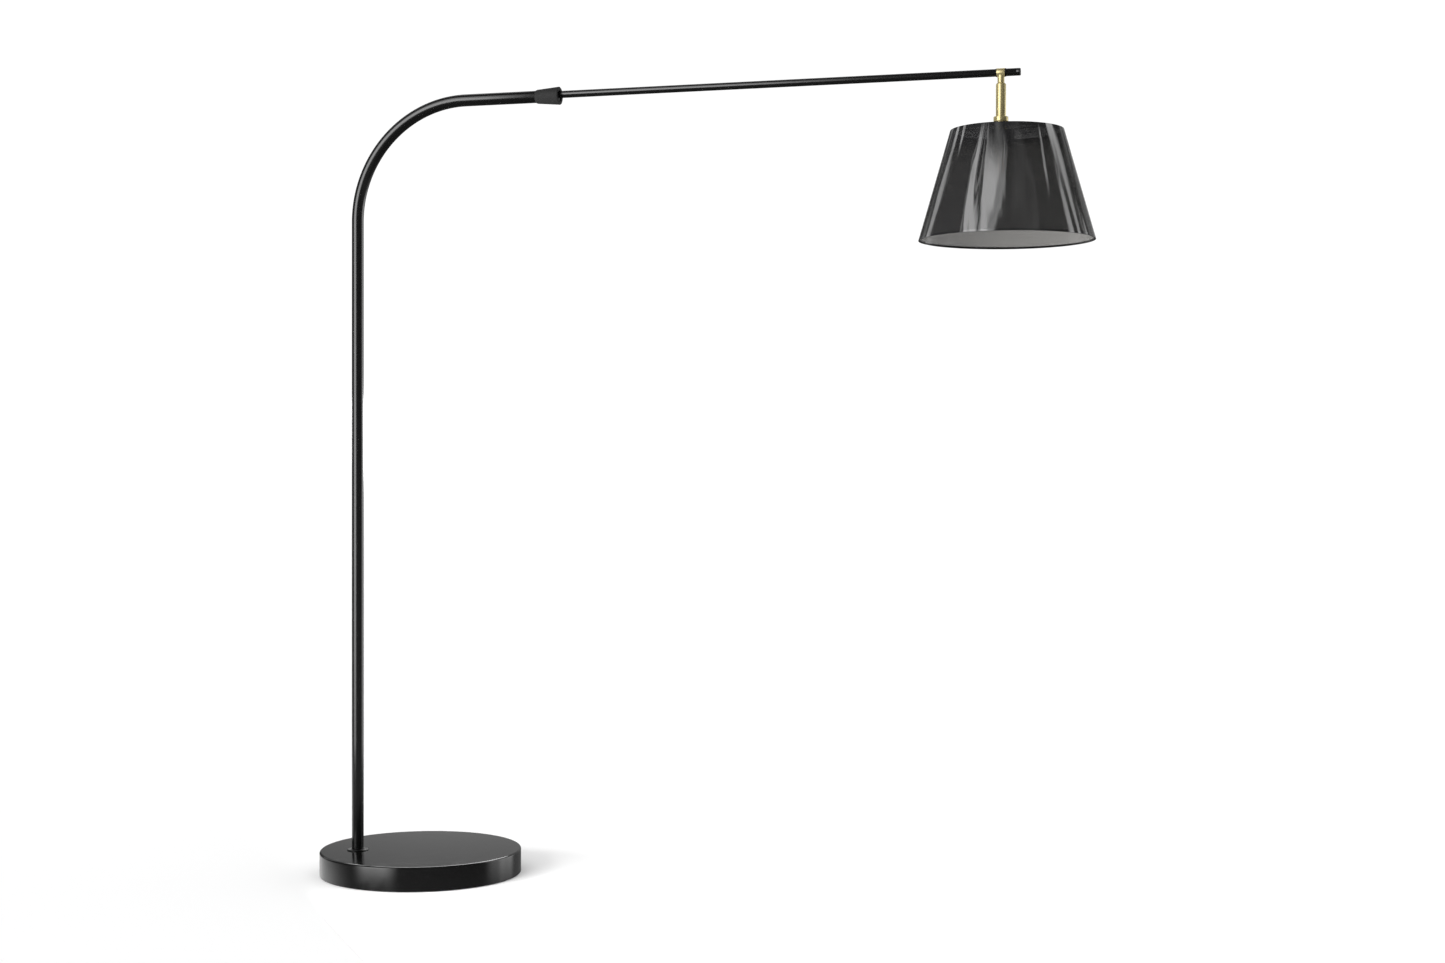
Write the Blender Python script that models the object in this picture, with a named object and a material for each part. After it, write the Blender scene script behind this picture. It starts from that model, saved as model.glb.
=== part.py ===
"""Adjustable arm floor lamp: a weighted disc base, a bent column, a sliding arm in a twist-lock collar,
and a tapered shade that hangs from the arm on a brass stem.

Metres, +Z up. The origin is the centre of the base's underside, on the floor. The arm runs along +X.
Places along the arm are distances from the column's axis."""

import math

import bmesh
import bpy
from mathutils import Matrix, Vector

# Facets of the round pieces
BIG_SIDES = 48
RING_SIDES = 32
CUP_SIDES = 24
TUBE_SIDES = 20
SMALL_SIDES = 14
FILAMENT_SIDES = 10
HEX_SIDES = 6
BEND_STEPS = 15
TUBE_FLAT = math.cos(math.pi / TUBE_SIDES)  # a facet's distance from the axis, over the corner's
SMALL_FLAT = math.cos(math.pi / SMALL_SIDES)

# Fits
GAP = 0.0003  # between pieces that touch
RUNNING = 0.00006  # radial clearance of a piece that turns or slides in another
EDGE = 0.0008  # the chamfer on small turned edges
PAST = 0.01  # how far a drill or a cutter runs past the faces it cuts

# Leads
LEAD_R = 0.0025
LEAD_END_IN = 0.0005  # the base's lead ends this far inside the cover's face
LEAD_STRAIGHT = 0.014  # and runs this far straight from the grommet
LEAD_TURN = 0.010  # it starts to turn this far from the groove's corner
LEAD_RISE = 0.009  # and starts to rise this far from the column's axis
LEAD_CENTRED = 55  # degrees of the bend through which the column's lead keeps to the middle
LEAD_PAST_POLE = 0.020  # the arm's lead starts this far past the column's end
LEAD_SLACK = 0.180  # the column's lead ends this far past the column's end
LEAD_SETTLE = 0.010  # a lead keeps to its side this far past the other's end
LEAD_EASE = 0.080  # and takes this far to come back to the arm's axis

# Base
BASE_D = 0.434
BASE_H = 0.052
COVER_T = 0.0015
COVER_EDGE_R = 0.004
COVER_LIFT = 0.0012  # the cover's rim stands this far off the floor
PAD_T = 0.003
PAD_INSET = 0.006
PLATE_T = 0.002
SCREW_IN = 0.067  # from the base's side to the screws' axes
SCREW_AZIMUTHS = (30, 150, 270)
SCREW_D = 0.005
SCREW_HEAD_D = 0.0095
SCREW_HEAD_T = 0.0018
SCREW_DEPTH = 0.018
SCREW_HEAD_ROOM = 0.0015
GROOVE_W = 0.012
GROOVE_H = 0.012
GROOVE_CORNER_IN = 0.035  # from the ballast's side to the groove's corner
GROMMET_AZIMUTH = 115
GROMMET_HOLE_R = LEAD_R + 0.0020
GROMMET_FLANGE_R = LEAD_R + 0.0040
GROMMET_TAIL_R = LEAD_R + 0.0029
GROMMET_FLANGE_T = 0.0015

# Column
POLE_X = -0.124
POLE_Y = -0.055
POLE_R = 0.0127
POLE_WALL = 0.0012
BEND_R = 0.251
STUB_Z = 1.663  # the axis of the column's level end
POLE_END = 0.434

# Foot bearing
FOOT_RING_W = 0.0098
FOOT_RING_T = 0.0022
STUD_BORE_R = LEAD_R + 0.0010
STUD_WALL = 0.0025
STUD_PAST_NUT = 0.002
STUD_MOUTH = 0.003  # how much wider the stud's bore opens at the top of its plug
STUD_MOUTH_L = 0.005
BUSH_WALL = 0.002
BUSH_FLANGE_T = 0.001
FOOT_PLUG_L = 0.030
POCKET_ROOF = 0.016  # from the pocket's roof to the base's top
POCKET_ROOM = 0.010
WASHER_W = 0.006
WASHER_T = 0.002
SPRING_W = 0.0035
SPRING_T = 0.0022
SPRING_SPLIT = 0.0012
NUT_W = 0.0044  # from the stud to the nut's corners
NUT_T = 0.008

# Arm
ARM_R = 0.0075
ARM_WALL = 0.001
ARM_L = 1.0774
ARM_IN_COLUMN = 0.089
ARM_PUSH = 0.085  # how far the arm slides in from this place
TAIL_BUSH_L = 0.020
TAIL_BUSH_WALL = 0.0015  # the bush's wall where it is thinnest, above the arm
SNAP_RING_T = 0.0008
SNAP_RING_W = 0.0016
CAP_HEAD_L = 0.0075
CAP_PLUG_L = 0.012

# Twist-lock collar
NOSE_WALL = 0.0015
NOSE_LAP = 0.013  # the nose's length over the column's end
NOSE_L = 0.022
COLLET_L = 0.0185
COLLET_TAPER = 0.0014
COLLET_TAPER_L = 0.008
COLLET_SLIT_W = 0.0015
COLLAR_LAP = 0.0225  # the collar's length over the column's end
COLLAR_CHAMFER = 0.0035
COLLAR_BACK_WALL = 0.0020
COLLAR_BACK_FACE = 0.0004
COLLAR_FRONT_WALL = 0.0045
COLLAR_HOLE_ROOM = 0.0015
COLLAR_LIP = 0.002

# Hanger
HANGER_IN = 0.0309  # from the arm's end to the hanger's axis
SLEEVE_L = 0.0160
SLEEVE_WALL = 0.0011
SLEEVE_EDGE = 0.0006
SLOT_HALF_L = 0.0036  # half the length, along the arm, of the arm's slot for the lead
SLOT_TOP = 0.0025  # the slot's top edge lies this far below the arm's axis
NECK_WALL = 0.0019
NECK_DROP = 0.0205  # from the arm's axis to the neck's end
NIPPLE_BORE_R = LEAD_R + 0.0007
NIPPLE_WALL = 0.0018
NIPPLE_IN_NECK = 0.009
NIPPLE_PAST_NUT = 0.001
STEM_R = 0.0100
STEM_CHAMFER = 0.0023
STEM_L = 0.0663
STEM_FLANGE_W = 0.0046
STEM_FLANGE_L = 0.0100
STEM_FOOT_W = 0.0015
STEM_FOOT_L = 0.0158

# Bulb
BULB_CAP_R = 0.0131
BULB_CAP_L = 0.0215
BULB_CAP_T = 0.0004
BULB_NECK_ROOM = 0.0005
BULB_NECK_L = 0.006
BULB_IN_CAP = 0.003
BULB_GLASS_R = 0.0150
BULB_GLASS_T = 0.0008
BULB_GLASS_L = 0.0665
BULB_SHOULDER = 0.010
BULB_TIP_R = 0.012
BUTTON_T = 0.003
BUTTON_INSET = 0.001
FILAMENTS = 4
FILAMENT_R = 0.0009
FILAMENT_CIRCLE_R = 0.0062
FILAMENT_L = 0.034
MOUNT_R = 0.0035
MOUNT_L = 0.016
MOUNT_FLARE_W = 0.004
MOUNT_FLARE_L = 0.006
MOUNT_IN_CAP = 0.001

# Lamp holder
HUB_T = 0.002
HUB_R = 0.017
HOLDER_CUP_L = 0.031
HOLDER_CUP_T = 0.001
HOLDER_CUP_ROOM = 0.0065
CUP_EDGE = 0.003
NIPPLE_NUT_W = 0.0032  # from the nipple to the nut's corners
NIPPLE_NUT_T = 0.004
INSULATOR_WALL = 0.0035
INSULATOR_TOP = 0.003
SHELL_ROOM = 0.0021  # from the bulb's cap to the screw shell's outside
SHELL_IN = 0.002
SCREW_SHELL_T = 0.0006
SCREW_PITCH = 0.0036
SCREW_RIPPLE = 0.0005
SCREW_PLAIN = 0.001  # the plain rim at each end of a screw shell
CONTACT_R = 0.004
CONTACT_T = 0.0012

# Shade
SHADE_H = 0.2170
SHADE_TOP_R = 0.1120
SHADE_BOTTOM_R = 0.1750
SHADE_SHIFT = 0.012  # the shade's axis stands this far beyond the stem's, along the arm
SHADE_T = 0.001
LINING_T = 0.0005
LINING_FROM_TOP = 0.006
LINING_FROM_BOTTOM = 0.004
RIM_WIRE_R = 0.0015
HUB_ABOVE = 0.0015  # the hub's top stands this far above the shade's
RING_BELOW = 0.0005  # the upper wire lies this far below the shade's top
SPOKES = 3
SPOKE_W = 0.006
SPOKE_T = 0.0015
SPOKE_LAP = 0.005

# Heights that follow from the sizes above
PLATE_Z = PAD_T + GAP
WEIGHT_Z = PLATE_Z + PLATE_T + GAP
COVER_IN_R = BASE_D / 2 - COVER_T
WEIGHT_R = COVER_IN_R - GAP
WEIGHT_TOP = BASE_H - COVER_T - GAP
GROOVE_MID_Z = WEIGHT_Z + GROOVE_H / 2
POCKET_TOP = BASE_H - POCKET_ROOF
FOOT_RING_Z = BASE_H + GAP
BUSH_FLANGE_Z = FOOT_RING_Z + FOOT_RING_T + GAP
POLE_FOOT_Z = BUSH_FLANGE_Z + BUSH_FLANGE_T + GAP
WASHER_Z = POCKET_TOP - GAP - WASHER_T
SPRING_Z = WASHER_Z - GAP - SPRING_T
NUT_Z = SPRING_Z - GAP - NUT_T
STUD_END_Z = NUT_Z - STUD_PAST_NUT

# Radii that follow
STUD_R = STUD_BORE_R + STUD_WALL
STUD_HOLE_R = STUD_R / TUBE_FLAT + GAP
BUSH_BORE_R = STUD_R / TUBE_FLAT + RUNNING
BUSH_R = BUSH_BORE_R + BUSH_WALL
WASHER_R = STUD_R + WASHER_W
SPRING_R = STUD_R + SPRING_W
NUT_R = STUD_R + NUT_W
POCKET_R = WASHER_R + POCKET_ROOM
FOOT_RING_R = POLE_R + FOOT_RING_W
POLE_BORE_R = POLE_R - POLE_WALL
ARM_HOLE_R = ARM_R / TUBE_FLAT + RUNNING
ARM_RISE = POLE_BORE_R - ARM_R - TAIL_BUSH_WALL  # the arm's axis above the column end's axis
NOSE_R = POLE_R + NOSE_WALL
COLLAR_BORE_R = NOSE_R + GAP
COLLAR_BACK_R = POLE_R + COLLAR_BACK_WALL
COLLAR_FRONT_R = COLLAR_BORE_R + COLLAR_FRONT_WALL
COLLAR_HOLE_R = ARM_R + ARM_RISE + COLLAR_HOLE_ROOM
SLEEVE_R = ARM_R + SLEEVE_WALL
SNAP_RING_R = ARM_R + SNAP_RING_T
NIPPLE_R = NIPPLE_BORE_R + NIPPLE_WALL
NIPPLE_HOLE_R = NIPPLE_R / SMALL_FLAT + GAP
NECK_R = NIPPLE_R + NECK_WALL
NIPPLE_NUT_R = NIPPLE_R + NIPPLE_NUT_W
STEM_FLANGE_R = STEM_R + STEM_FLANGE_W
STEM_FOOT_R = STEM_R + STEM_FOOT_W
BULB_NECK_R = BULB_CAP_R - SCREW_RIPPLE - BULB_CAP_T - BULB_NECK_ROOM
SHELL_R = BULB_CAP_R + SHELL_ROOM
INSULATOR_IN_R = SHELL_R + GAP
INSULATOR_R = INSULATOR_IN_R + INSULATOR_WALL
HOLDER_CUP_R = INSULATOR_R + HOLDER_CUP_ROOM + HOLDER_CUP_T
SCREW_CIRCLE_R = BASE_D / 2 - SCREW_IN
LEAD_SIDE = LEAD_R + GAP  # the two leads in the arm lie this far either side of its axis

# Places along the arm that follow
NOSE_START = POLE_END - NOSE_LAP
NOSE_END = NOSE_START + NOSE_L
COLLET_END = NOSE_END + COLLET_L
COLLAR_START = POLE_END - COLLAR_LAP
COLLAR_END = COLLET_END + GAP + COLLAR_LIP
ARM_START = POLE_END - ARM_IN_COLUMN
ARM_END = ARM_START + ARM_L
HANGER = ARM_END - HANGER_IN
HANGER_X = POLE_X + HANGER
SHADE_X = HANGER_X + SHADE_SHIFT
ARM_LEAD_START = POLE_END + LEAD_PAST_POLE
COLUMN_LEAD_END = POLE_END + LEAD_SLACK

# Heights of the hanger, from the arm down
ARM_Z = STUB_Z + ARM_RISE
NECK_Z = ARM_Z - NECK_DROP
STEM_TOP_Z = NECK_Z - GAP
STEM_BOTTOM_Z = STEM_TOP_Z - STEM_L
FLANGE_Z = STEM_BOTTOM_Z - GAP
FLANGE_BOTTOM_Z = FLANGE_Z - STEM_FLANGE_L - STEM_FOOT_L
HUB_TOP_Z = FLANGE_BOTTOM_Z - GAP
CUP_TOP_Z = HUB_TOP_Z - HUB_T - GAP
NIPPLE_NUT_Z = CUP_TOP_Z - HOLDER_CUP_T - GAP - NIPPLE_NUT_T
NIPPLE_END_Z = NIPPLE_NUT_Z - NIPPLE_PAST_NUT
INSULATOR_Z = NIPPLE_END_Z - GAP
INSULATOR_BOTTOM_Z = CUP_TOP_Z - HOLDER_CUP_L + GAP
SHELL_TOP_Z = INSULATOR_Z - INSULATOR_TOP - GAP
CAP_TOP_Z = SHELL_TOP_Z - CONTACT_T - 2 * GAP
CAP_BOTTOM_Z = CAP_TOP_Z - BULB_CAP_L
GLASS_TOP_Z = CAP_BOTTOM_Z + BULB_IN_CAP
GLASS_TIP_Z = GLASS_TOP_Z - BULB_GLASS_L
SHADE_TOP_Z = HUB_TOP_Z - HUB_ABOVE
SHADE_BOTTOM_Z = SHADE_TOP_Z - SHADE_H


def finish(name, colour, roughness, metallic=0.0, alpha=1.0):
    """A plain material with the piece's colour."""
    material = bpy.data.materials.new(name)
    material.use_nodes = True
    shader = material.node_tree.nodes["Principled BSDF"]
    shader.inputs["Base Color"].default_value = (*colour, 1.0)
    shader.inputs["Roughness"].default_value = roughness
    shader.inputs["Metallic"].default_value = metallic
    shader.inputs["Alpha"].default_value = alpha
    material.diffuse_color = (*colour, alpha)
    return material


def axis_empty(name, point, parent=None):
    """An empty on a joint's axis, which carries the pieces that move together."""
    empty = bpy.data.objects.new(name, None)
    bpy.context.scene.collection.objects.link(empty)
    put(empty, Matrix.Translation(point), parent)
    bpy.context.view_layer.update()
    return empty


def put(piece, place, parent):
    """Places a piece in the world, under its parent."""
    if parent:
        piece.parent = parent
        piece.matrix_parent_inverse = parent.matrix_world.inverted()
    piece.matrix_basis = place


def upright(x, y, z=0.0):
    return Matrix.Translation((x, y, z))


def along_arm(z):
    """A place whose own Z runs along +X from the column's axis, at height z."""
    return Matrix.Translation((POLE_X, POLE_Y, z)) @ Matrix.Rotation(math.pi / 2, 4, "Y")


def solid(name, bm, material, place, parent):
    """Makes the object of a finished bmesh, shaded smooth up to its sharp edges."""
    bmesh.ops.recalc_face_normals(bm, faces=bm.faces)
    mesh = bpy.data.meshes.new(name)
    bm.to_mesh(mesh)
    bm.free()
    mesh.shade_smooth()
    mesh.set_sharp_from_angle(angle=math.radians(35))
    mesh.materials.append(material)
    piece = bpy.data.objects.new(name, mesh)
    bpy.context.scene.collection.objects.link(piece)
    put(piece, place, parent)
    return piece


def turned(name, outline, material, place, parent, sides=TUBE_SIDES):
    """A turned piece: the outline's (radius, height) points spun about the place's own Z axis."""
    bm = bmesh.new()
    points = [bm.verts.new((radius, 0, height)) for radius, height in outline]
    edges = [bm.edges.new(pair) for pair in zip(points, points[1:])]
    if min(radius for radius, height in outline) > 0:
        edges.append(bm.edges.new((points[-1], points[0])))
    bmesh.ops.spin(
        bm, geom=points + edges, cent=(0, 0, 0), axis=(0, 0, 1),
        angle=2 * math.pi, steps=sides, use_merge=True,
    )
    bmesh.ops.remove_doubles(bm, verts=bm.verts, dist=1e-7)
    return solid(name, bm, material, place, parent)


def tube_outline(inner, outer, low, high):
    return [(outer, high), (outer, low), (inner, low), (inner, high)]


def rod_outline(radius, low, high):
    return [(0, high), (radius, high), (radius, low), (0, low)]


def arc(radius, centre, start, end, steps):
    """Points on a quarter or other arc of an outline, in degrees."""
    turns = [math.radians(start + (end - start) * i / steps) for i in range(steps + 1)]
    return [(centre[0] + radius * math.cos(a), centre[1] + radius * math.sin(a)) for a in turns]


def block(name, low, high, material, place, parent):
    bm = bmesh.new()
    size = Vector(high) - Vector(low)
    bmesh.ops.create_cube(bm, size=1.0)
    bmesh.ops.scale(bm, verts=bm.verts, vec=size)
    bmesh.ops.translate(bm, verts=bm.verts, vec=(Vector(high) + Vector(low)) / 2)
    return solid(name, bm, material, place, parent)


def combine(piece, tool, operation):
    """Joins the tool's shape to the piece, or cuts it out. The tool itself isn't a piece."""
    tool.hide_render = True
    tool.display_type = "WIRE"
    modifier = piece.modifiers.new(tool.name, "BOOLEAN")
    modifier.operation = operation
    modifier.object = tool


def drill(piece, name, radius, low, high, place, sides=TUBE_SIDES):
    tool = turned(name, rod_outline(radius, low, high), piece.active_material, place, None, sides)
    combine(piece, tool, "DIFFERENCE")


def smooth_route(points, steps=3):
    """Points on a smooth curve through the route's own points, however far apart they are."""
    gaps = [(after - before).length for before, after in zip(points, points[1:])]
    runs = [(after - before) / gap for before, after, gap in zip(points, points[1:], gaps)]
    aims = [runs[0]]
    for i in range(1, len(runs)):
        aims.append((runs[i - 1] * gaps[i] + runs[i] * gaps[i - 1]) / (gaps[i] + gaps[i - 1]))
    aims.append(runs[-1])
    route = []
    for i, gap in enumerate(gaps):
        start, end = points[i], points[i + 1]
        for step in range(steps):
            t = step / steps
            leave = gap * t * (1 - t) ** 2 * aims[i]
            arrive = gap * t * t * (t - 1) * aims[i + 1]
            route.append(start + t * t * (3 - 2 * t) * (end - start) + leave + arrive)
    return route + [points[-1]]


def lead(name, points, material, parent):
    """A sheathed lead along a smooth route."""
    route = smooth_route([Vector(point) for point in points])
    curve = bpy.data.curves.new(name, "CURVE")
    curve.dimensions = "3D"
    curve.bevel_depth = LEAD_R
    curve.bevel_resolution = 2
    curve.use_fill_caps = True
    spline = curve.splines.new("POLY")
    spline.points.add(len(route) - 1)
    for point, spot in zip(spline.points, route):
        point.co = (*spot, 1.0)
    curve.materials.append(material)
    piece = bpy.data.objects.new(name, curve)
    bpy.context.scene.collection.objects.link(piece)
    put(piece, Matrix.Identity(4), parent)


def base_cover(body):
    """The spun steel cover: a flat top, a rounded edge and a straight side, open below."""
    radius = BASE_D / 2
    corner = (radius - COVER_EDGE_R, BASE_H - COVER_EDGE_R)
    outside = [(0, BASE_H)] + arc(COVER_EDGE_R, corner, 90, 0, 5) + [(radius, COVER_LIFT)]
    inside = [(COVER_IN_R, COVER_LIFT)] + arc(COVER_EDGE_R - COVER_T, corner, 0, 90, 5)
    cover = turned(
        "base_cover", outside + inside + [(0, BASE_H - COVER_T)],
        finish("cover_lacquer", (0.012, 0.012, 0.013), 0.12), upright(0, 0), body, BIG_SIDES,
    )
    drill(cover, "cover_foot_hole", BUSH_R + GAP, 0, BASE_H + PAST, upright(POLE_X, POLE_Y))
    drill(
        cover, "cover_cord_hole", GROMMET_HOLE_R + GAP, -PAST, PAST,
        grommet_place(), SMALL_SIDES,
    )


def grommet_place():
    """A place on the base's wall whose own Z points straight out of it."""
    turn = Matrix.Rotation(math.radians(GROMMET_AZIMUTH), 4, "Z")
    reach = BASE_D / 2 * math.cos(math.pi / BIG_SIDES)
    return turn @ Matrix.Translation((reach, 0, GROOVE_MID_Z)) @ Matrix.Rotation(math.pi / 2, 4, "Y")


def cord_grommet(body):
    """The rubber grommet that the power cord leaves through, snapped into the cover's wall."""
    inside = -COVER_T - 2 * GAP
    outline = [
        (LEAD_R + GAP, GROMMET_FLANGE_T + GAP),
        (GROMMET_FLANGE_R - EDGE, GROMMET_FLANGE_T + GAP),
        (GROMMET_FLANGE_R, GROMMET_FLANGE_T / 2 + GAP),
        (GROMMET_FLANGE_R, GAP),
        (GROMMET_HOLE_R, GAP),
        (GROMMET_HOLE_R, inside),
        (GROMMET_TAIL_R, inside),
        (GROMMET_TAIL_R, inside - GROMMET_FLANGE_T),
        (LEAD_R + GAP, inside - GROMMET_FLANGE_T),
    ]
    turned(
        "cord_grommet", outline, finish("grommet_rubber", (0.02, 0.02, 0.02), 0.6),
        grommet_place(), body, SMALL_SIDES,
    )


def groove_corner():
    """Where the lead's groove turns from the base's radius towards the column."""
    turn = math.radians(GROMMET_AZIMUTH)
    reach = WEIGHT_R - GROOVE_CORNER_IN
    return Vector((reach * math.cos(turn), reach * math.sin(turn), GROOVE_MID_Z))


def groove_tool(name, start, end, weight):
    """A straight run of the groove in the ballast's underside."""
    run = end - start
    place = Matrix.Translation(start) @ Matrix.Rotation(math.atan2(run.y, run.x), 4, "Z")
    low = (-GROOVE_W / 2, -GROOVE_W / 2, -GROOVE_H)
    high = (run.length + GROOVE_W / 2, GROOVE_W / 2, GROOVE_H / 2)
    combine(weight, block(name, low, high, weight.active_material, place, None), "DIFFERENCE")


def base_weight(body):
    """The cast ballast under the cover, with the foot's pocket, the lead's groove and room for the screws."""
    outline = [
        (0, WEIGHT_TOP), (WEIGHT_R - COVER_EDGE_R, WEIGHT_TOP),
        (WEIGHT_R, WEIGHT_TOP - COVER_EDGE_R), (WEIGHT_R, WEIGHT_Z), (0, WEIGHT_Z),
    ]
    weight = turned(
        "base_weight", outline, finish("ballast_concrete", (0.35, 0.34, 0.32), 0.9),
        upright(0, 0), body, BIG_SIDES,
    )
    foot = upright(POLE_X, POLE_Y)
    drill(weight, "weight_foot_bore", BUSH_R + GAP, 0, BASE_H, foot)
    drill(weight, "weight_pocket", POCKET_R, 0, POCKET_TOP, foot)
    corner = groove_corner()
    rim = corner.normalized() * (BASE_D / 2)
    groove_tool("groove_inner", Vector((POLE_X, POLE_Y, GROOVE_MID_Z)), corner, weight)
    groove_tool("groove_outer", corner, Vector((rim.x, rim.y, GROOVE_MID_Z)), weight)
    for number, place in enumerate(screw_places(), 1):
        depth = WEIGHT_Z + SCREW_DEPTH
        drill(weight, f"weight_screw_hole_{number}", SCREW_D / 2 + GAP, 0, depth, place, SMALL_SIDES)


def screw_places():
    turns = [math.radians(azimuth) for azimuth in SCREW_AZIMUTHS]
    return [upright(SCREW_CIRCLE_R * math.cos(a), SCREW_CIRCLE_R * math.sin(a)) for a in turns]


def base_plate(body):
    """The steel plate that holds the ballast in the cover."""
    plate = turned(
        "base_plate", rod_outline(WEIGHT_R, PLATE_Z, PLATE_Z + PLATE_T),
        finish("plate_zinc", (0.55, 0.56, 0.58), 0.4, 1.0), upright(0, 0), body, BIG_SIDES,
    )
    for number, place in enumerate(screw_places(), 1):
        drill(plate, f"plate_screw_hole_{number}", SCREW_D / 2 + GAP, 0, WEIGHT_Z, place, SMALL_SIDES)


def base_pad(body):
    """The foam pad that the lamp stands on."""
    pad = turned(
        "base_pad", rod_outline(COVER_IN_R - PAD_INSET, 0, PAD_T),
        finish("pad_foam", (0.03, 0.03, 0.03), 0.95), upright(0, 0), body, BIG_SIDES,
    )
    for number, place in enumerate(screw_places(), 1):
        hole = SCREW_HEAD_D / 2 + SCREW_HEAD_ROOM
        drill(pad, f"pad_screw_hole_{number}", hole, -PAST, PAD_T + PAST, place, SMALL_SIDES)


def plate_screws(body):
    """The round-headed screws that hold the plate to inserts in the ballast."""
    steel = finish("screw_zinc", (0.6, 0.6, 0.62), 0.35, 1.0)
    head_z = PLATE_Z - GAP
    for number, place in enumerate(screw_places(), 1):
        outline = [
            (0, WEIGHT_Z + SCREW_DEPTH - GAP), (SCREW_D / 2, WEIGHT_Z + SCREW_DEPTH - GAP),
            (SCREW_D / 2, head_z), (SCREW_HEAD_D / 2, head_z),
            (SCREW_HEAD_D / 2, head_z - SCREW_HEAD_T / 2),
            (SCREW_HEAD_D / 2 - EDGE, head_z - SCREW_HEAD_T), (0, head_z - SCREW_HEAD_T),
        ]
        turned(f"plate_screw_{number}", outline, steel, place, body, SMALL_SIDES)


def foot_ring(body):
    """The thin ring round the column's foot, on the cover."""
    inner = BUSH_R + GAP
    top = FOOT_RING_Z + FOOT_RING_T
    outline = [
        (inner, top), (FOOT_RING_R - EDGE, top), (FOOT_RING_R, top - EDGE),
        (FOOT_RING_R, FOOT_RING_Z), (inner, FOOT_RING_Z),
    ]
    turned(
        "foot_ring", outline, finish("ring_black", (0.01, 0.01, 0.01), 0.35),
        upright(POLE_X, POLE_Y), body, RING_SIDES,
    )


def foot_bush(body):
    """The flanged nylon bush that the foot's stud turns in."""
    outline = [
        (BUSH_BORE_R, BUSH_FLANGE_Z + BUSH_FLANGE_T), (POLE_R, BUSH_FLANGE_Z + BUSH_FLANGE_T),
        (POLE_R, BUSH_FLANGE_Z), (BUSH_R, BUSH_FLANGE_Z),
        (BUSH_R, POCKET_TOP + GAP), (BUSH_BORE_R, POCKET_TOP + GAP),
    ]
    turned(
        "foot_bush", outline, finish("bush_nylon", (0.03, 0.03, 0.03), 0.5),
        upright(POLE_X, POLE_Y), body,
    )


def base_lead(body):
    """The lead from the grommet, along the ballast's groove, to the foot of the hollow stud."""
    turn = math.radians(GROMMET_AZIMUTH)
    out = Vector((math.cos(turn), math.sin(turn), 0))
    start = out * (BASE_D / 2 - LEAD_END_IN) + Vector((0, 0, GROOVE_MID_Z))
    foot = Vector((POLE_X, POLE_Y, GROOVE_MID_Z))
    corner = groove_corner()
    back = (corner - foot).normalized()
    lift = STUD_END_Z - 3 * GAP - GROOVE_MID_Z
    points = [
        start, start - out * LEAD_STRAIGHT, corner + out * LEAD_TURN / 2, corner - back * LEAD_TURN,
        corner - back * 2 * LEAD_TURN, foot + back * 8 * LEAD_RISE, foot + back * 3 * LEAD_RISE,
        foot + back * LEAD_RISE - Vector((0, 0, GAP)),
        foot + back * LEAD_RISE / 4 + Vector((0, 0, lift / 3)), foot + Vector((0, 0, lift)),
    ]
    lead("base_lead", points, finish("base_lead_sheath", (0.02, 0.02, 0.02), 0.5), body)


def pole_tube(body):
    """The column: one round tube, bent from upright to level."""
    bm = bmesh.new()
    for radius in (POLE_R, POLE_BORE_R):
        bmesh.ops.create_circle(bm, cap_ends=False, radius=radius, segments=TUBE_SIDES)
    bmesh.ops.bridge_loops(bm, edges=bm.edges[:])
    rise = STUB_Z - BEND_R - POLE_FOOT_Z
    top = extrude(bm, bm.faces[:], (0, 0, rise))
    spun = bmesh.ops.spin(
        bm, geom=top, cent=(BEND_R, 0, rise), axis=(0, 1, 0), angle=math.pi / 2, steps=BEND_STEPS,
    )
    level = [part for part in spun["geom_last"] if isinstance(part, bmesh.types.BMFace)]
    extrude(bm, level, (POLE_END - BEND_R, 0, 0))
    # The tube stays open inside where one stretch meets the next.
    bmesh.ops.delete(bm, geom=top + level, context="FACES_ONLY")
    solid(
        "pole_tube", bm, finish("pole_lacquer", (0.012, 0.012, 0.013), 0.18),
        upright(POLE_X, POLE_Y, POLE_FOOT_Z), body,
    )


def extrude(bm, faces, move):
    """Extrudes the end faces of a tube and returns the new end."""
    made = bmesh.ops.extrude_face_region(bm, geom=faces)["geom"]
    points = [part for part in made if isinstance(part, bmesh.types.BMVert)]
    bmesh.ops.translate(bm, verts=points, vec=move)
    return [part for part in made if isinstance(part, bmesh.types.BMFace)]


def foot_plug(body):
    """The plug pressed into the column's foot, with the hollow stud that turns in the bush."""
    plug_r = POLE_BORE_R * TUBE_FLAT - GAP
    top = POLE_FOOT_Z + FOOT_PLUG_L
    outline = [
        (STUD_BORE_R + STUD_MOUTH, top), (plug_r, top), (plug_r, POLE_FOOT_Z), (STUD_R, POLE_FOOT_Z),
        (STUD_R, STUD_END_Z), (STUD_BORE_R, STUD_END_Z), (STUD_BORE_R, top - STUD_MOUTH_L),
    ]
    turned(
        "foot_plug", outline, finish("plug_steel", (0.5, 0.5, 0.52), 0.35, 1.0),
        upright(POLE_X, POLE_Y), body,
    )


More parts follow.
